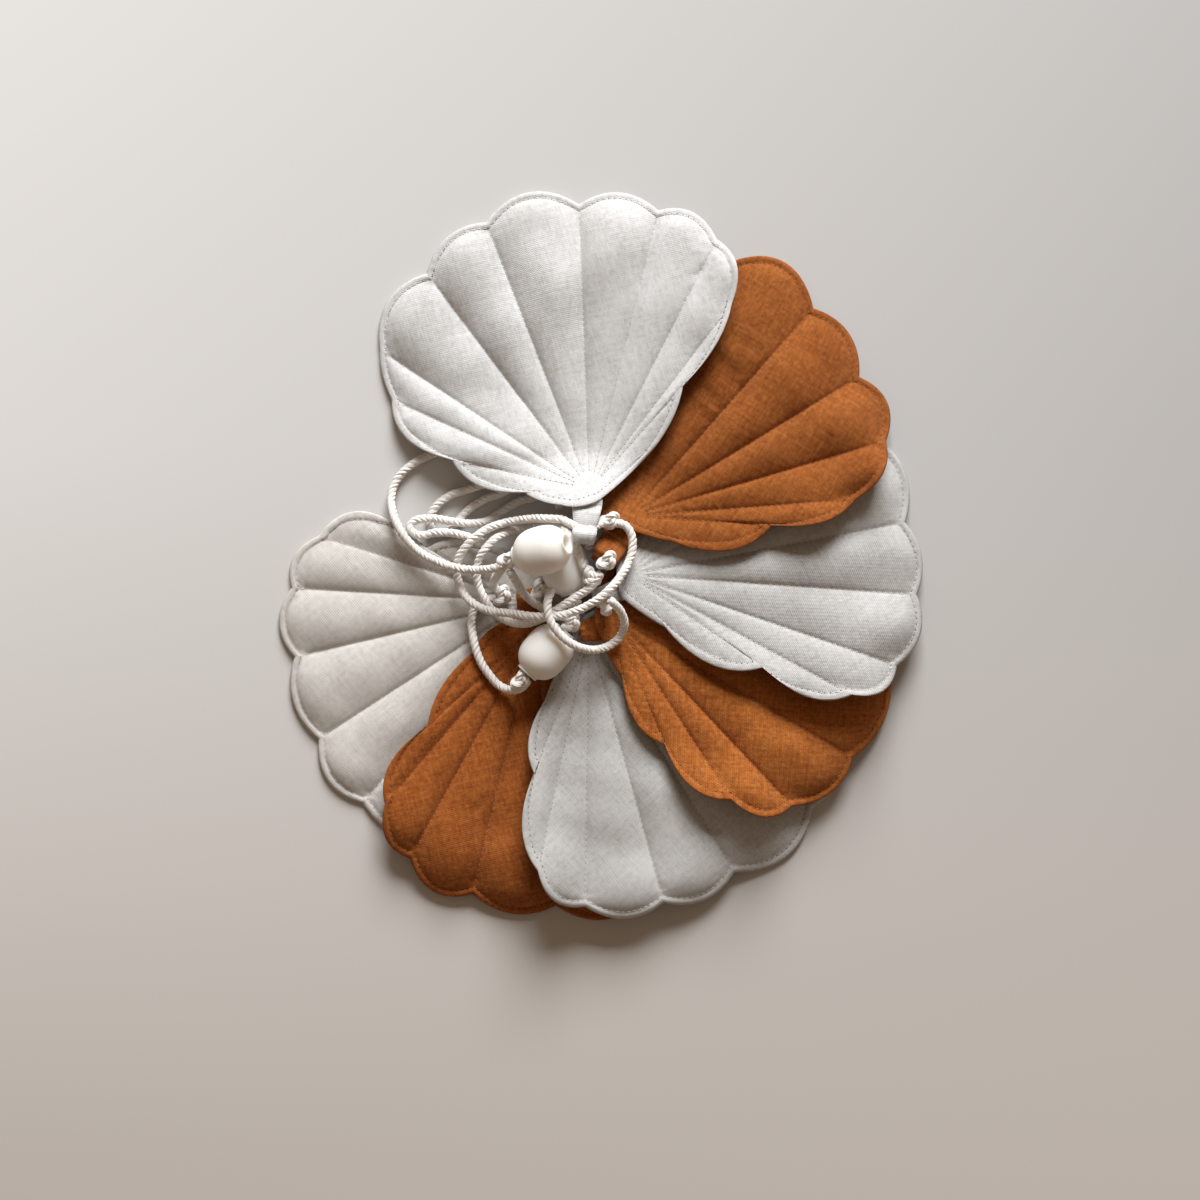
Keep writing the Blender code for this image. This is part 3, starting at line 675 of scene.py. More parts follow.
def pad_heights(pad, places, field, cover, lift, pile):
    """Height of the top and of the underside of a pad at places of its lattice."""
    x, y, share = places["x"], places["y"], places["share"]
    swell, width, reach = places["swell"], places["width"], places["reach"]
    seed = ord(pad[0])
    run = share * reach
    puff = PUFF_SHARES[pad[0]] * PUFF_LIMIT * (width / (width + PUFF_WIDTH)) ** 2
    puff = puff * swell ** PUFF_SHAPE + CROWN * np.sin(math.pi * share)
    puff = puff * np.clip((run - FLAT_UNTIL) / FULL_FROM, 0, 1) ** PUFF_EASE
    covered = pile.read(x, y, cover)
    inset = places["inset"]
    edge = np.clip(inset / TOPSTITCH_INSET, 0, 1)
    roll = np.sqrt(1 - (2 * edge - 1) ** 2)
    rise = np.clip((inset - TOPSTITCH_INSET) / RISE_WIDTH, 0, 1)
    rise = (1 - (1 - rise) ** 2) ** RISE_SHAPE
    thick = EDGE_THICKNESS + (SEAM_THICKNESS - EDGE_THICKNESS) * edge + ROLL_HEIGHT * roll ** 0.8
    thick = thick + puff * (1 - (1 - PRESSED_SHARE) * covered) * rise
    from_seam = places["from_seam"]
    inner = np.clip((inset - TOPSTITCH_INSET) / TOPSTITCH_INSET, 0, 1)
    sewn = inner * np.clip(run / STITCHES_FROM, 0, 1) ** 4
    thick = thick - SEAM_DIP * np.exp(-(from_seam / SEAM_WIDTH) ** 2) * sewn
    nearest = np.rint(places["lobe"])
    strength = 0.6 + 0.4 * ripple(x, y, PUCKER_PATCH, seed + 5)
    swing = ripple(x, y, PUCKER_SWING, seed)
    pucker = np.sin(math.tau * run / PUCKER_LENGTH + nearest * 2.1 + swing)
    pucker = pucker * np.exp(-from_seam / PUCKER_REACH) * np.clip(from_seam / MM, 0, 1)
    thick = thick + PUCKER_HEIGHT * pucker * strength * inner * np.clip(run / PUCKER_FULL, 0, 1)
    swing = 2 * ripple(x, y, RIM_PATCH, seed + 3)
    rim_wave = np.sin(math.tau * places["lobe"] * RIM_WAVES + seed + swing)
    near_edge = np.exp(-((inset - TOPSTITCH_INSET) / RIM_REACH) ** 2)
    thick = thick + 0.5 * PUCKER_HEIGHT * rim_wave * near_edge * edge
    thick = thick + SWELL_WAVE * ripple(x, y, SWELL_PATCH, seed + 11) * rise * (1 - 0.6 * covered)
    thick = thick - crease_depth(pad, x, y) * rise
    wave = 1 + 0.3 * ripple(x, y, LIFT_WAVE, seed + 23)
    raised = (EDGE_LIFT + OVERLAP_LIFT * pile.read(x, y, lift)) * wave
    outer = np.clip((share - LIFT_FROM) / (1 - LIFT_FROM), 0, 1) ** LIFT_SHAPE
    base = pile.read(x, y, field) + raised * outer * np.clip(reach / LIFT_REACH - 0.3, 0, 1)
    quilt = UNDER_HOLLOW * (1 - swell ** PUFF_SHAPE) * rise
    tuck = np.clip(1 - inset / (TOPSTITCH_INSET / 2), 0, 1)
    return base + thick, base + EDGE_THICKNESS * (1 - np.sqrt(1 - tuck ** 2)) + quilt


def add_piece(name, points, faces, material, slot, uv=None):
    """Smooth mesh object in world places, riding on the part's one body."""
    mesh = bpy.data.meshes.new(name)
    points = np.ascontiguousarray(points, np.float32)
    faces = np.asarray(faces, np.int32)
    sides = faces.shape[1]
    mesh.vertices.add(len(points))
    mesh.vertices.foreach_set("co", points.ravel())
    mesh.loops.add(faces.size)
    mesh.loops.foreach_set("vertex_index", faces.ravel())
    mesh.polygons.add(len(faces))
    mesh.polygons.foreach_set("loop_start", np.arange(0, faces.size, sides, dtype=np.int32))
    mesh.polygons.foreach_set("loop_total", np.full(len(faces), sides, np.int32))
    if uv is not None:
        layer = mesh.uv_layers.new(name="pattern")
        layer.data.foreach_set("uv", np.asarray(uv, np.float32)[faces.ravel()].ravel())
    mesh.update(calc_edges=True)
    mesh.validate()
    mesh.shade_smooth()
    mesh.materials.append(material)
    item = bpy.data.objects.new(name, mesh)
    bpy.context.scene.collection.objects.link(item)
    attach(item, "root")
    return item


def band_faces(rows, columns, start=0, wrap=True):
    """Quads between rows of points, each row closed on itself if wrap is set."""
    r = np.arange(rows - 1)[:, None]
    c = np.arange(columns if wrap else columns - 1)[None, :]
    after = (c + 1) % columns
    corners = [r * columns + c, r * columns + after, (r + 1) * columns + after, (r + 1) * columns + c]
    return np.stack(corners, axis=-1).reshape(-1, 4) + start


def capped_faces(rows, columns):
    """Quads between closed rows of points, and from both end rows to the points that follow.

    Those at the ends have two corners in one, so each gives one triangle."""
    c = np.arange(columns)
    after = (c + 1) % columns
    last = (rows - 1) * columns
    tip = np.full(columns, rows * columns)
    first_cap = np.stack([tip, after, c, c], axis=-1)
    last_cap = np.stack([tip + 1, last + c, last + after, last + after], axis=-1)
    return np.concatenate([band_faces(rows, columns), first_cap, last_cap])


def tube(centres, across, above, sides, round_ends):
    """Points and faces of a closed tube: a ring at each centre, spanned by two vectors there."""
    angle = np.arange(sides) / sides * math.tau
    rings = (
        centres[:, None, :]
        + across[:, None, :] * np.cos(angle)[None, :, None]
        + above[:, None, :] * np.sin(angle)[None, :, None]
    )
    ahead = centres[1] - centres[0]
    tip = centres[0] - ahead / np.linalg.norm(ahead) * round_ends
    behind = centres[-1] - centres[-2]
    tail = centres[-1] + behind / np.linalg.norm(behind) * round_ends
    points = np.concatenate([rings.reshape(-1, 3), tip[None], tail[None]])
    return points, capped_faces(len(centres), sides)


def triangles_of(quads):
    """Quads cut into triangles, with those that have no width left out."""
    faces = np.concatenate([quads[:, [0, 1, 2]], quads[:, [0, 2, 3]]])
    return faces[(faces != np.roll(faces, 1, axis=1)).all(axis=1)]


def joined(parts):
    """Several (points, faces) as one."""
    points, faces, start = [], [], 0
    for part_points, part_faces in parts:
        points.append(part_points)
        faces.append(part_faces + start)
        start += len(part_points)
    return np.concatenate(points), np.concatenate(faces)


def stitch_line(line):
    """Stitches along a line of points, as threads that dip into the cloth, and needle holes as small dark
    domes of painted shade.
    """
    run = run_along(line)
    threads, holes = [], []
    turn = np.arange(HOLE_SIDES) / HOLE_SIDES * math.tau
    c = np.arange(HOLE_SIDES)
    fan = np.stack([c, (c + 1) % HOLE_SIDES, np.full(HOLE_SIDES, HOLE_SIDES)], axis=-1)
    base = np.stack([np.zeros(HOLE_SIDES - 2, int), c[2:], c[1:-1]], axis=-1)
    for index in range(int(run[-1] / STITCH_PITCH)):
        start = (index + 0.5) * STITCH_PITCH
        marks = start + (STITCH_PITCH - 2 * HOLE_RADIUS) * np.array(STITCH_MARKS)
        centres = points_at(line, run, marks)
        centres[:, 2] += STITCH_RISE
        ahead = centres[-1] - centres[0]
        ahead /= np.linalg.norm(ahead)
        across = np.cross(ahead, (0, 0, 1.0))
        across /= np.linalg.norm(across)
        above = np.cross(across, ahead)
        size = STITCH_RADIUS * np.array(STITCH_TAPER)[:, None]
        points, faces = tube(centres, across * size, above * size, STITCH_SIDES, STITCH_RADIUS / 2)
        threads.append((points, triangles_of(faces)))
        middle = points_at(line, run, start - STITCH_PITCH / 2)[0]
        rim = ahead * np.cos(turn)[:, None] + across * np.sin(turn)[:, None]
        rim = middle + rim * HOLE_RADIUS - above * HOLE_DEPTH
        dome = np.concatenate([rim, [middle + above * HOLE_CROWN]])
        holes.append((dome, np.concatenate([fan, base])))
    return threads, holes


def ring_shares():
    """Shares of the pad's rings, close together at the edge."""
    inside = np.linspace(INNER_SHARE, EDGE_SHARE, RINGS_INSIDE, endpoint=False)
    return np.concatenate([inside, np.linspace(EDGE_SHARE, 1.0, RINGS_AT_EDGE)])


def build_pad(number, pile, looks):
    """One quilted pad with its stitches, laid on the pile."""
    pad = PADS[number]
    field = pile.drape()
    cover = pad_cover(pile, number)
    lift = edge_lift(pile, field, cover)
    places = pad_lattice(pad, ring_shares())
    top, _ = pad_heights(pad, places, field, cover, lift, pile)
    upper = np.stack([places["x"], places["y"], top], axis=-1).transpose(1, 0, 2)
    under_shares = np.linspace(0, 1, UNDER_RINGS + 1)[1:] ** UNDER_CROWD
    under_shares = 1 - under_shares * (1 - INNER_SHARE)
    below = pad_lattice(pad, under_shares)
    _, bottom = pad_heights(pad, below, field, cover, lift, pile)
    lower = np.stack([below["x"], below["y"], bottom], axis=-1).transpose(1, 0, 2)
    rings = np.concatenate([upper, lower])
    hub = plan(*HUBS[pad[0]])
    ends = np.array([
        [*hub, upper[0, :, 2].mean()],
        [*hub, lower[-1, :, 2].mean()],
    ])
    points = np.concatenate([rings.reshape(-1, 3), ends])
    faces = triangles_of(capped_faces(len(rings), upper.shape[1]))
    piece = add_piece("quilt_" + pad[0], points, faces, looks[pad[0]], pad[1] + "_linen")
    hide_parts("pad_" + pad[0])
    add_stitches(pad, places, upper, looks)
    fine = pad_lattice(pad, np.linspace(0.0, 1.0, MAP_RINGS), MAP_STEPS)
    top, _ = pad_heights(pad, fine, field, cover, lift, pile)
    pile.lay(fine["x"], fine["y"], top)


def add_stitches(pad, places, upper, looks):
    """Threads along the seams and along the edge of a pad."""
    spokes = upper.shape[1]
    starts = np.flatnonzero(places["from_seam"][:, -1] == 0)
    inset = places["inset"]
    run = places["share"] * places["reach"]
    lines = []
    for start in starts:
        kept = (inset[start] > TOPSTITCH_INSET) & (run[start] > STITCHES_FROM)
        if kept.sum() > 3:
            lines.append(upper[kept, start])
    edge = []
    for spoke in range(spokes):
        order = np.argsort(inset[spoke])
        edge.append([np.interp(TOPSTITCH_INSET, inset[spoke][order], upper[order, spoke, axis])
                     for axis in range(3)])
    lines.append(np.array(edge + edge[:1]))
    threads, holes = [], []
    for line in lines:
        line_threads, line_holes = stitch_line(line)
        threads += line_threads
        holes += line_holes
    add_piece("stitches_" + pad[0], *joined(threads), looks["thread " + pad[1]], pad[1] + "_linen")
    # Dark dots of painted shade at the needle holes
    add_piece("needle_hole_painted_shade_" + pad[0], *joined(holes), looks["hole " + pad[1]], pad[1] + "_linen")


def build_tab(pad, pile, looks):
    """Folded tab that runs back from a pad's narrow end and comes down from its underside.

    Gives distances from the root, places and tops for the pile, and the middle of the fold."""
    heading = math.radians(pad[7])
    back = -np.array([math.sin(heading), math.cos(heading)])
    side = np.array([back[1], -back[0]])
    root = plan(pad[2], pad[3]) + back * TAB_ROOT
    *shape, rise = TAB_SHAPES.get(pad[0], (1.0, 1.0, 1.0, 0.0))
    away, width, thickness = (np.array(TAB_STATIONS) * MM * shape).T
    length = away[-1]

    def across(distance, reach, shares):
        middle = root + back * distance[:, None]
        return middle[:, None, :] + side * (shares[None, :] * reach[:, None])[..., None]

    places = across(away, width, np.linspace(-0.5, 0.5, 9))
    level = pile.read(places[..., 0], places[..., 1]).max(axis=1) + REST_GAP
    level = np.maximum(level, (level + np.roll(level, 1)) / 2)
    under_pad = float(pile.read(*root, pile.drape()))
    drop = eased(away / length / TAB_DROP)
    crest = np.maximum(level + thickness, under_pad * (1 - drop) + (level + thickness) * drop)
    if rise:
        swell = np.sin(math.pi / 2 * np.clip(away / length / TAB_SWELL, 0, 1))
        crest = np.maximum(level + thickness, under_pad + EDGE_THICKNESS + rise * swell)

    # Hairpin section: out along the top, round the end, and back along the bottom
    out = np.linspace(-TAB_IN_PAD, length - TAB_END, TAB_LINES[0])
    turn = np.linspace(math.pi / 2, -math.pi / 2, TAB_LINES[1] + 2)[1:-1]
    half = np.interp(out, away, thickness) / 2 - TAB_CLOTH
    middle = np.interp(out, away, crest) - half - TAB_CLOTH
    distance = np.concatenate([out, out[-1] + half[-1] * np.cos(turn), out[::-1]])
    centre = np.concatenate([middle, np.full(len(turn), middle[-1]), middle[::-1]])
    swing = np.concatenate([half, half[-1] * np.sin(turn), -half[::-1]])
    reach = np.interp(np.clip(distance, 0, None), away, width)
    shares = np.linspace(-0.5, 0.5, TAB_LINES[2])
    roundness = np.sqrt(1 - TAB_FLATTEN * np.abs(2 * shares) ** TAB_ROUND)
    gather = np.clip(distance / length, 0, 1)[:, None]
    wave = np.sin(shares * TAB_FOLDS + ord(pad[0]))[None, :] * TAB_FOLD_HEIGHT * gather
    height = centre[:, None] + swing[:, None] * roundness[None, :] + wave * np.sign(swing)[:, None]
    middle_sheet = np.concatenate([across(distance, reach, shares), height[..., None]], axis=-1)
    fold = np.column_stack([distance, centre + swing])
    slope = unit(np.gradient(fold, axis=0))
    normal = np.concatenate([back[None, :] * -slope[:, 1:], slope[:, :1]], axis=1)
    sheets = [middle_sheet + normal[:, None, :] * TAB_CLOTH * sign for sign in (1, -1)]
    rows, columns = middle_sheet.shape[:2]
    loop = np.concatenate([sheets[0], sheets[1][:, ::-1]], axis=1)
    faces = [band_faces(rows, 2 * columns)]
    c = np.arange(columns - 1)
    for row in (0, rows - 1):
        first = row * 2 * columns
        opposite = first + 2 * columns - 1 - c
        quad = np.stack([first + c, first + c + 1, opposite - 1, opposite], axis=-1)
        faces.append(quad if row == 0 else quad[:, ::-1])
    look = looks["tab " + pad[0]]
    piece = add_piece("fold_" + pad[0], loop.reshape(-1, 3), np.concatenate(faces), look, pad[1] + "_linen")
    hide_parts("tab_" + pad[0])

    fine = np.linspace(0, length, TAB_MAP[0])
    places = across(fine, np.interp(fine, away, width), np.linspace(-0.5, 0.5, TAB_MAP[1]))
    pressed = np.interp(fine, away, level + thickness)
    flat_top = np.where(fine < TAB_TUCK, pressed, np.interp(fine, away, crest))
    eye = root + back * TAB_EYE
    eye_level = np.interp(TAB_EYE, away, crest) - np.interp(TAB_EYE, away, thickness) / 2
    top = flat_top[:, None] * np.ones(TAB_MAP[1])
    return fine, places[..., 0], places[..., 1], top, np.array([*eye, eye_level])


def build_tab_and_pad(number, pile, looks):
    """A pad over the root of its own tab; the rest of the tab carries what comes later."""
    pad = PADS[number]
    away, x, y, top, eye = build_tab(pad, pile, looks)
    tucked = away < TAB_TUCK
    pile.lay(x[tucked], y[tucked], top[tucked] - TAB_PRESSED)
    build_pad(number, pile, looks)
    pile.lay(x[~tucked], y[~tucked], top[~tucked])
    return eye


def run_along(line):
    """Distance of each point of a line from its start."""
    return np.concatenate([[0.0], np.cumsum(np.linalg.norm(np.diff(line, axis=0), axis=1))])


def points_at(line, run, marks):
    """Points of a line at these distances from its start."""
    return np.column_stack([np.interp(marks, run, column) for column in line.T])


def resample(line, step):
    """The same line with its points evenly apart."""
    run = run_along(line)
    count = max(2, int(round(run[-1] / step)) + 1)
    return points_at(line, run, np.linspace(0, run[-1], count))


def unit(rows):
    """The rows as directions of length one."""
    return rows / np.linalg.norm(rows, axis=1)[:, None]


def smooth_curve(knots):
    """Points a step apart on a smooth curve through these."""
    before = np.vstack([2 * knots[0] - knots[1], knots[:-1]])
    after = np.vstack([knots[1:], 2 * knots[-1] - knots[-2]])
    slopes = (after - before) / 2
    fine = []
    for index in range(len(knots) - 1):
        for t in np.linspace(0, 1, CURVE_STEPS, endpoint=False):
            fine.append(
                (2 * t ** 3 - 3 * t ** 2 + 1) * knots[index]
                + (t ** 3 - 2 * t ** 2 + t) * slopes[index]
                + (3 * t ** 2 - 2 * t ** 3) * knots[index + 1]
                + (t ** 3 - t ** 2) * slopes[index + 1]
            )
    fine.append(knots[-1])
    return resample(np.array(fine), ROUTE_STEP)


def window(values, reach, mean_or_max):
    """Mean or highest value within a reach along a line."""
    count = int(reach / ROUTE_STEP)
    padded = np.pad(values, count, mode="edge")
    return mean_or_max([padded[i:i + len(values)] for i in range(2 * count + 1)], axis=0)


def frames_along(line):
    """Unit vectors across and above a line, without sudden turns."""
    along = unit(np.gradient(line, axis=0))
    across = np.zeros_like(line)
    across[0] = np.cross(along[0], (0, 0, 1.0))
    across[0] /= np.linalg.norm(across[0])
    for index in range(1, len(line)):
        carried = across[index - 1] - along[index] * (across[index - 1] @ along[index])
        across[index] = carried / np.linalg.norm(carried)
    return across, np.cross(along, across)


def rope(line, diameter, pitch, sides, step):
    """Three strands twisted round a line, with a pattern place for each point."""
    line = resample(line, step)
    across, above = frames_along(line)
    run = np.arange(len(line)) * step
    size = diameter / 4
    parts, pattern = [], []
    for strand in range(3):
        angle = math.tau * (run / pitch + strand / 3)
        offset = across * np.cos(angle)[:, None] + above * np.sin(angle)[:, None]
        centres = line + offset * size * STRAND_OFFSET
        slope = unit(np.gradient(centres, axis=0))
        outward = unit(offset - slope * (offset * slope).sum(axis=1)[:, None])
        aside = np.cross(slope, outward) * size * STRAND_WIDTH
        parts.append(tube(centres, aside, outward * size * STRAND_HEIGHT, sides, size / 2))
        u = np.repeat(run, sides)
        v = np.tile(np.arange(sides) / sides, len(line))
        pattern.append(np.concatenate([np.column_stack([u, v]), [[0, 0], [run[-1], 0]]]))
    points, faces = joined(parts)
    return points, triangles_of(faces), np.concatenate(pattern)


def outside_knot(line, knot):
    """Which points of a line are outside a knot or just inside its skin."""
    local = (line - knot["centre"]) @ knot["axes"].T
    size = np.array(KNOT_SIZE) / 2 - CORD_INTO_KNOT
    return np.linalg.norm(local / size, axis=1) > 1


def build_cord(name, pile, knots, looks):
    """A stretch of rope, laid on the pile and let down from the knots that hold its ends."""
    radius = CORD_DIAMETER / 2
    line = smooth_curve(np.array([plan(*place) for place in CORD_ROUTES[name]]))
    bare = pile.top.copy()
    for knot_name, knot in knots.items():
        if knot_name not in CORD_ENDS[name]:
            lay_knot(knot, pile)
    height = pile.rest(line[:, 0], line[:, 1], radius + CORD_CLEARANCE)
    pile.top = bare
    height = window(window(height, CORD_HUMP, np.max), CORD_HUMP, np.mean)
    away = np.arange(len(line)) * ROUTE_STEP
    for knot_name, distance in zip(CORD_ENDS[name], (away, away[-1] - away)):
        if knot_name is None:
            continue
        share = eased(distance / CORD_DROP)
        height = np.maximum(height, knots[knot_name]["centre"][2] * (1 - share) + height * share)
    line = np.column_stack([line, height])
    for knot_name in CORD_ENDS[name]:
        if knot_name is not None:
            line = line[outside_knot(line, knots[knot_name])]
    points, faces, pattern = rope(line, ROPE_DIAMETER, ROPE_PITCH, ROPE_SIDES, ROPE_STEP)
    piece = add_piece("rope_" + name[5:], points, faces, looks["cotton"], "cotton", pattern)
    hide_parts(name)
    ahead = unit(np.gradient(line[:, :2], axis=0))
    for step in np.linspace(-1, 1, CORD_STRIPS):
        x = line[:, 0] - ahead[:, 1] * radius * step
        y = line[:, 1] + ahead[:, 0] * radius * step
        pile.lay(x, y, line[:, 2] + radius * math.sqrt(1 - step * step))
    return line


def axes_of(turn, tilt):
    """Rows along, across and above a piece that is turned and tilted."""
    a = math.radians(turn)
    b = math.radians(tilt)
    along = np.array([math.cos(a) * math.cos(b), math.sin(a) * math.cos(b), math.sin(b)])
    across = np.array([-math.sin(a), math.cos(a), 0.0])
    return np.array([along, across, np.cross(along, across)])


def bead_outline(steps):
    """Half outline of a barrel bead, as distances along and out."""
    turn = np.linspace(-1, 1, steps)
    along = BEAD_LENGTH / 2 * np.sin(turn * math.pi / 2)
    out = BEAD_DIAMETER / 2 * (1 - np.abs(np.sin(turn * math.pi / 2)) ** BEAD_SHOULDER) ** 0.5
    return along, np.maximum(out, BEAD_FACE / 2)


def spun(along, out, sides, bead):
    """Points round a bead's bore in world directions, at distances along it and out from it."""
    angle = np.arange(sides) / sides * math.tau
    local = np.stack([
        np.repeat(along[:, None], sides, axis=1),
        out[:, None] * np.cos(angle)[None, :],
        out[:, None] * np.sin(angle)[None, :],
    ], axis=-1)
    return local.reshape(-1, 3) @ axes_of(*bead[2:])


def bead_skin(bead):
    """Points of a bead's outside in world directions, round its middle."""
    return spun(*bead_outline(SKIN_STEPS), SKIN_STEPS, bead)


def place_bead(name, pile):
    """Middle of a bead that lies on the pile."""
    bead = BEADS[name]
    skin = bead_skin(bead)
    place = plan(bead[0], bead[1])
    under = pile.read(skin[:, 0] + place[0], skin[:, 1] + place[1])
    level = float(np.max(under - skin[:, 2])) + REST_GAP
    return np.array([place[0], place[1], level])


def build_bead(name, centre, looks):
    """One barrel bead with its bore and rounded bore mouths."""
    lip = np.array(BEAD_LIP) * MM
    lip_along = BEAD_LENGTH / 2 - lip[:, 0]
    lip_out = BEAD_BORE / 2 + lip[:, 1]
    along, out = bead_outline(BEAD_RINGS)
    along = np.concatenate([along, lip_along, -lip_along[::-1]])
    out = np.concatenate([out, lip_out, lip_out[::-1]])
    points = spun(along, out, BEAD_SIDES, BEADS[name]) + centre
    faces = band_faces(len(along) + 1, BEAD_SIDES) % len(points)
    piece = add_piece("barrel" + name[4:], points, faces, looks["bead"], "bead")
    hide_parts(name)


def lay_knot(knot, pile):
    """Record a knot in the height map."""
    polar, angle = np.meshgrid(np.linspace(0, math.pi, KNOT_SKIN), np.linspace(0, math.tau, KNOT_SKIN))
    local = np.stack([
        np.cos(polar) * KNOT_SIZE[0] / 2,
        np.sin(polar) * np.cos(angle) * KNOT_SIZE[1] / 2,
        np.sin(polar) * np.sin(angle) * KNOT_SIZE[2] / 2,
    ], axis=-1).reshape(-1, 3)
    skin = local @ knot["axes"] + knot["centre"]
    pile.lay(skin[:, 0], skin[:, 1], skin[:, 2])


def build_knot(name, knot, looks, tail=None):
    """One overhand knot: the rope wound through itself, with a tail of rope where it has one."""
    t = np.linspace(0, math.tau, KNOT_STEPS)
    reach = [(size * KNOT_FULLNESS - KNOT_ROPE) / 2 for size in KNOT_SIZE]
    curve = np.column_stack([
        (np.sin(t) + 2 * np.sin(2 * t)) / KNOT_SPREAD[0] * reach[0],
        (np.cos(t) - 2 * np.cos(2 * t)) / KNOT_SPREAD[1] * reach[1],
        -np.sin(3 * t) * reach[2],
    ])
    line = curve @ knot["axes"] + knot["centre"]
    points, faces, pattern = rope(line, KNOT_ROPE, KNOT_PITCH, KNOT_SIDES, KNOT_STEP)
    if tail is not None:
        tail = smooth_curve(tail)
        *more, more_pattern = rope(tail, ROPE_DIAMETER, ROPE_PITCH, KNOT_SIDES, TAIL_STEP)
        points, faces = joined([(points, faces), more])
        pattern = np.concatenate([pattern, more_pattern])
    return add_piece("wound_" + name, points, faces, looks["cotton"], "cotton", pattern)


def place_knots(beads, pile):
    """Middle and axes of every knot: at the bore of its bead, or lying on the pile."""
    knots = {}
    for name, bead, end in BEAD_KNOTS:
        axes = axes_of(*BEADS[bead][2:])
        away = (BEAD_LENGTH + KNOT_SIZE[0]) / 2 - KNOT_SINK
        knots[name] = {"centre": beads[bead] + axes[0] * away * end, "axes": axes}
    for name, across, down, turn in FREE_KNOTS:
        knots[name] = place_knot(across, down, turn, pile)
    return knots


def place_knot(across, down, turn, pile):
    """Middle and axes of a knot that lies on the pile."""
    place = plan(across, down)
    level = float(pile.rest(place[0], place[1], KNOT_SIZE[2] / 2 + REST_GAP))
    return {"centre": np.array([*place, level]), "axes": axes_of(turn, 0.0)}


def knot_tails(knots, lines, eye):
    """Short stretches of rope that run on from a knot, as points from one end to the other."""
    side = knots["knot_tab"]["centre"]
    ring = lines["cord_outer_ring"][-1]
    cluster = knots["knot_cluster"]["centre"]
    corner = np.array([*plan(*TAIL_CORNER), cluster[2] + TAIL_RISE])
    loop = knots["knot_right_loop"]["centre"]
    return {
        "knot_tab": np.array([ring, eye, (eye + side) / 2, side]),
        "knot_cluster": np.array([knots["knot_top_left"]["centre"], corner, cluster]),
        "knot_right_loop": np.array([loop, [*plan(*LOOP_TAIL), loop[2] - TAIL_RISE]]),
    }


class Look:
    """A material with its shader, and short ways to add nodes to it."""

    def __init__(self, name):
        self.material = bpy.data.materials.new(name)
        self.material.use_nodes = True
        self.tree = self.material.node_tree
        self.shader = self.tree.nodes["Principled BSDF"]
        self.place = self.node("TexCoord").outputs["Object"]

    def put(self, inputs, values):
        """Set inputs or link sockets to them, each by its name or number."""
        for key, value in values.items():
            if isinstance(value, bpy.types.NodeSocket):
                self.tree.links.new(value, inputs[key])
            else:
                inputs[key].default_value = value

    def node(self, kind, inputs=None, **settings):
        """A new node with its settings and inputs."""
        made = self.tree.nodes.new("ShaderNode" + kind)
        for key, value in settings.items():
            setattr(made, key, value)
        self.put(made.inputs, inputs or {})
        return made

    def sum_of(self, operation, first, second=0.0):
        """Result of one sum on numbers or sockets."""
        return self.node("Math", {0: first, 1: second}, operation=operation).outputs[0]

    def weighted(self, *terms, start=0.0):
        """Total of several values, each times its weight."""
        total = start
        for value, weight in terms:
            total = self.sum_of("ADD", total, self.sum_of("MULTIPLY", value, weight))
        return total

    def blended(self, factor, first, second, kind="MIX"):
        """Colour mix of two colours or sockets."""
        inputs = {0: factor, 6: first, 7: second}
        return self.node("Mix", inputs, data_type="RGBA", blend_type=kind).outputs[2]

    def noise(self, stretch, detail=2.0, rough=0.5, vector=None):
        """Noise value with its own stretch along each axis, or one for all, per metre."""
        stretch = stretch if isinstance(stretch, tuple) else (stretch,) * 3
        scaled = self.node("Mapping", {"Vector": vector or self.place, "Scale": stretch})
        inputs = {"Vector": scaled.outputs[0], "Scale": 1.0, "Detail": detail, "Roughness": rough}
        return self.node("TexNoise", inputs).outputs["Fac"]

    def bump(self, height, strength, distance):
        """Surface direction with a fine relief."""
        inputs = {"Height": height, "Strength": strength, "Distance": distance}
        return self.node("Bump", inputs).outputs["Normal"]

    def faded(self, value, start, end):
        """Share of the way from one value to another."""
        inputs = {"Value": value, "From Min": start, "From Max": end}
        return self.node("MapRange", inputs).outputs[0]

    def dressed(self, values):
        """The material, once its shader has these values."""
        self.put(self.shader.inputs, values)
        return self.material


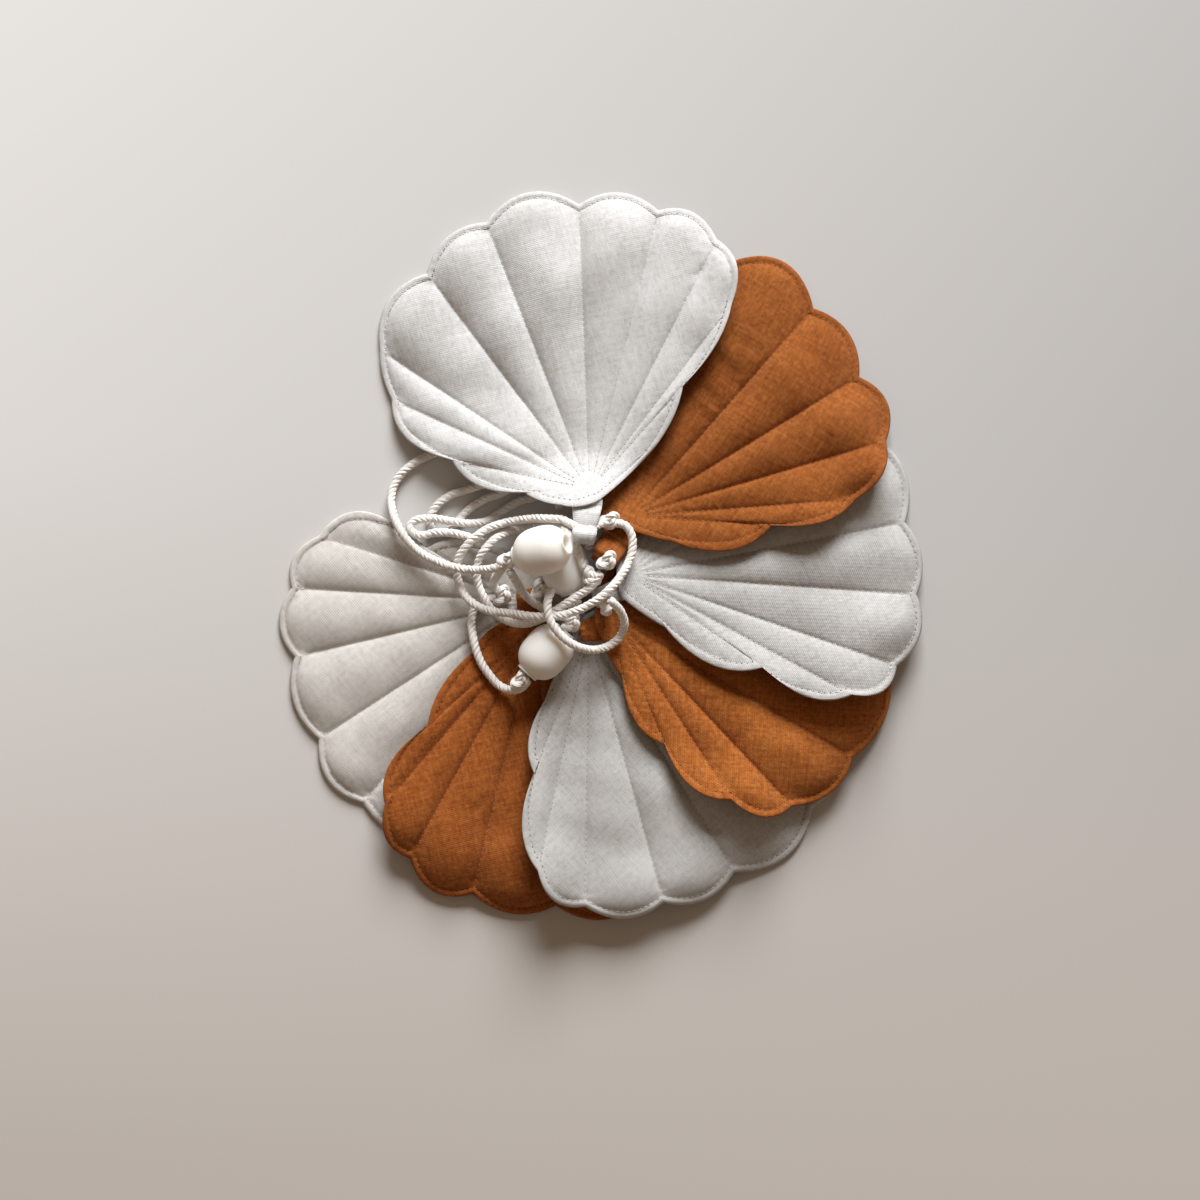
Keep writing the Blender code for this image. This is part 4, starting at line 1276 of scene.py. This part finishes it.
def linen(name, heading, dark, middle, light):
    """Woven linen: threads, slubs and soft patches, turned to the pad's heading."""
    look = Look(name)
    turn = {"Vector": look.place, "Rotation": (0.0, 0.0, math.radians(heading))}
    vector = look.node("Mapping", turn).outputs[0]
    threads = {
        "Vector": vector,
        "Scale": 1.0,
        "Color1": (1, 1, 1, 1),
        "Color2": (0.72, 0.72, 0.72, 1),
        "Mortar": (0, 0, 0, 1),
        "Mortar Size": 0.22 * MM,
        "Mortar Smooth": 1.0,
        "Brick Width": 0.62 * MM,
        "Row Height": 0.78 * MM,
    }
    weave = look.node("TexBrick", threads, offset=0.5).outputs["Color"]
    slub_along = look.noise((900.0, 70.0, 300.0), 3.0, 0.6, vector)
    slub_across = look.noise((70.0, 900.0, 300.0), 3.0, 0.6, vector)
    slub = look.sum_of("ADD", slub_along, slub_across)
    patch = look.noise(45.0, vector=vector)
    heather = look.noise((620.0, 480.0, 480.0), 3.0, 0.65, vector)
    fleck = look.noise(1500.0, 1.0, vector=vector)
    tone = look.weighted((slub, 0.28), (heather, 0.42), (patch, 0.14), (fleck, 0.14), start=-0.13)
    ramp = look.node("ValToRGB", {"Fac": tone})
    stops = ramp.color_ramp.elements
    stops[0].position, stops[0].color = 0.30, dark
    stops[1].position, stops[1].color = 0.72, light
    stops.new(0.5).color = middle
    return look.dressed({
        "Base Color": look.blended(0.32, ramp.outputs["Color"], weave, "MULTIPLY"),
        "Normal": look.bump(look.weighted((weave, 1.0), (slub, 0.9)), 0.75, WEAVE_DEPTH),
        "Roughness": 0.92,
        "Specular IOR Level": 0.15,
        "Sheen Weight": 0.05,
        "Sheen Roughness": 0.6,
    })


def thread_look(name, colour):
    """Sewing thread."""
    look = Look(name)
    darker = (*(0.72 * channel for channel in colour[:3]), 1.0)
    shade = look.noise(700.0, 2.0, 0.6)
    return look.dressed({"Base Color": look.blended(shade, darker, colour), "Roughness": 0.7})


def cotton_look():
    """Twisted cotton: fine yarns that run round each strand, with soft patches."""
    look = Look("cotton rope")
    pattern = look.node("UVMap", uv_map="pattern").outputs["UV"]
    apart = look.node("SeparateXYZ", {0: pattern})
    along = look.sum_of("MULTIPLY", apart.outputs["X"], math.tau / YARN_PITCH)
    around = look.sum_of("MULTIPLY", apart.outputs["Y"], math.tau * YARNS)
    yarn = look.sum_of("SINE", look.sum_of("SUBTRACT", around, along))
    fuzz = look.noise(2600.0, 3.0, 0.7)
    patch = look.noise(160.0)
    tone = look.weighted((yarn, 0.16), (patch, 0.7), (fuzz, 0.35))
    return look.dressed({
        "Base Color": look.blended(tone, (0.73, 0.67, 0.61, 1.0), (0.86, 0.83, 0.80, 1.0)),
        "Normal": look.bump(look.weighted((fuzz, 1.4), start=yarn), 0.6, 0.12 * MM),
        "Roughness": 0.88,
        "Sheen Weight": 0.2,
        "Sheen Roughness": 0.5,
    })


def bead_look():
    """Smooth cream bead with faint cloudy patches."""
    look = Look("cream bead")
    cloud = look.noise(130.0, 3.0)
    return look.dressed({
        "Base Color": look.blended(cloud, (0.80, 0.76, 0.71, 1.0), (0.87, 0.85, 0.815, 1.0)),
        "Normal": look.bump(look.noise(900.0), 0.15, 0.05 * MM),
        "Roughness": 0.58,
        "Specular IOR Level": 0.35,
        "Subsurface Weight": 0.6,
        "Subsurface Radius": (1.0, 0.75, 0.55),
        "Subsurface Scale": 7 * MM,
    })


def make_looks():
    """Every material of the garland, by what wears it."""
    looks = {
        "cotton": cotton_look(),
        "bead": bead_look(),
        "thread light": thread_look("light thread", (0.66, 0.62, 0.57, 1)),
        "thread rust": thread_look("rust thread", (0.42, 0.13, 0.028, 1)),
        # Needle holes: dark domes that paint the shade inside each hole
        "hole light": thread_look("light needle hole painted shade", (0.15, 0.125, 0.105, 1)),
        "hole rust": thread_look("rust needle hole painted shade", (0.085, 0.018, 0.004, 1)),
    }
    for pad in PADS:
        # Each pad's tint is partly painted light and shade, on its cloth and on its tab
        tones = [(*np.array(tone) * TINTS_AND_PAINTED_SHADE[pad[0]], 1) for tone in LINEN_TONES[pad[1]]]
        looks[pad[0]] = linen("linen " + pad[0], pad[4], *tones)
        looks["tab " + pad[0]] = linen("tab linen " + pad[0], pad[7], *tones)
    return looks


def add_camera():
    """Camera straight above the middle of the picture."""
    data = bpy.data.cameras.new("camera")
    data.sensor_width = SENSOR
    data.lens = SENSOR * CAMERA_HEIGHT / (PICTURE_SIDE * PIXEL)
    data.clip_start = 0.01
    camera = bpy.data.objects.new("camera", data)
    place = plan(PICTURE_SIDE / 2, PICTURE_SIDE / 2)
    camera.location = (place[0], place[1], CAMERA_HEIGHT)
    bpy.context.scene.collection.objects.link(camera)
    bpy.context.scene.camera = camera


def add_window():
    """Soft square light, far off at the top of the picture, that faces the garland."""
    data = bpy.data.lights.new("window", "AREA")
    data.shape = "SQUARE"
    data.size = WINDOW_SIZE
    data.energy = WINDOW_POWER
    data.color = WINDOW_COLOUR
    light = bpy.data.objects.new("window", data)
    light.location = WINDOW_PLACE
    away = np.array(WINDOW_PLACE) / np.linalg.norm(WINDOW_PLACE)
    light.rotation_euler = (math.acos(away[2]), 0.0, math.atan2(away[0], -away[1]))
    bpy.context.scene.collection.objects.link(light)


def add_stage():
    """Floor with painted light and shade, paler at the left, darker at the right and darker and warmer
    below; soft daylight and a warm surround.
    """
    look = Look("floor with painted light and shade")
    apart = look.node("SeparateXYZ", {0: look.place})
    # Painted light and shade on the floor: paler at the left, darker at the right, darker and warmer below
    painted_shade_across = look.faded(apart.outputs["X"], *PAINTED_FLOOR_SHADE_ACROSS)
    painted_shade_near = look.faded(apart.outputs["Y"], *PAINTED_FLOOR_SHADE_ALONG)
    colour = look.blended(painted_shade_across, FLOOR_PAINTED_LIGHT_LEFT, FLOOR_PAINTED_SHADE_RIGHT)
    colour = look.blended(painted_shade_near, colour, FLOOR_PAINTED_WARM_SHADE_NEAR)
    material = look.dressed({"Base Color": colour, "Roughness": 0.95, "Specular IOR Level": 0.1})
    mesh = bpy.data.meshes.new("floor")
    half = FLOOR_HALF
    corners = [(-half, -half, 0), (half, -half, 0), (half, half, 0), (-half, half, 0)]
    mesh.from_pydata(corners, [], [(0, 1, 2, 3)])
    mesh.materials.append(material)
    floor = bpy.data.objects.new("floor", mesh)
    bpy.context.scene.collection.objects.link(floor)
    add_window()
    world = bpy.data.worlds.new("surround")
    world.use_nodes = True
    surround = world.node_tree.nodes["Background"]
    surround.inputs["Color"].default_value = SURROUND_COLOUR
    surround.inputs["Strength"].default_value = SURROUND_POWER
    bpy.context.scene.world = world
    bpy.context.scene.view_settings.view_transform = "Standard"


def main():
    """Lay every piece in its order, under the camera and the light."""
    add_camera()
    looks = make_looks()
    pile = Pile()
    beads = {}
    knots = {}
    lines = {}
    eye = None
    for step, what in LAYING:
        if step == "cord":
            lines[what] = build_cord(what, pile, knots, looks)
        elif step == "pad":
            eye = build_tab_and_pad(what, pile, looks)
        elif step == "place":
            beads[what] = place_bead(what, pile)
        elif step == "carry":
            skin = bead_skin(BEADS[what]) + beads[what]
            pile.lay(skin[:, 0], skin[:, 1], skin[:, 2])
        else:
            knots = place_knots(beads, pile)
            for name, across, down, turn in LOW_KNOTS:
                build_knot(name, place_knot(across, down, turn, pile), looks)
    for name, centre in beads.items():
        build_bead(name, centre, looks)
    tails = knot_tails(knots, lines, eye)
    for name, knot in knots.items():
        piece = build_knot(name[5:], knot, looks, tails.get(name))
        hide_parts(name)
    add_stage()


main()
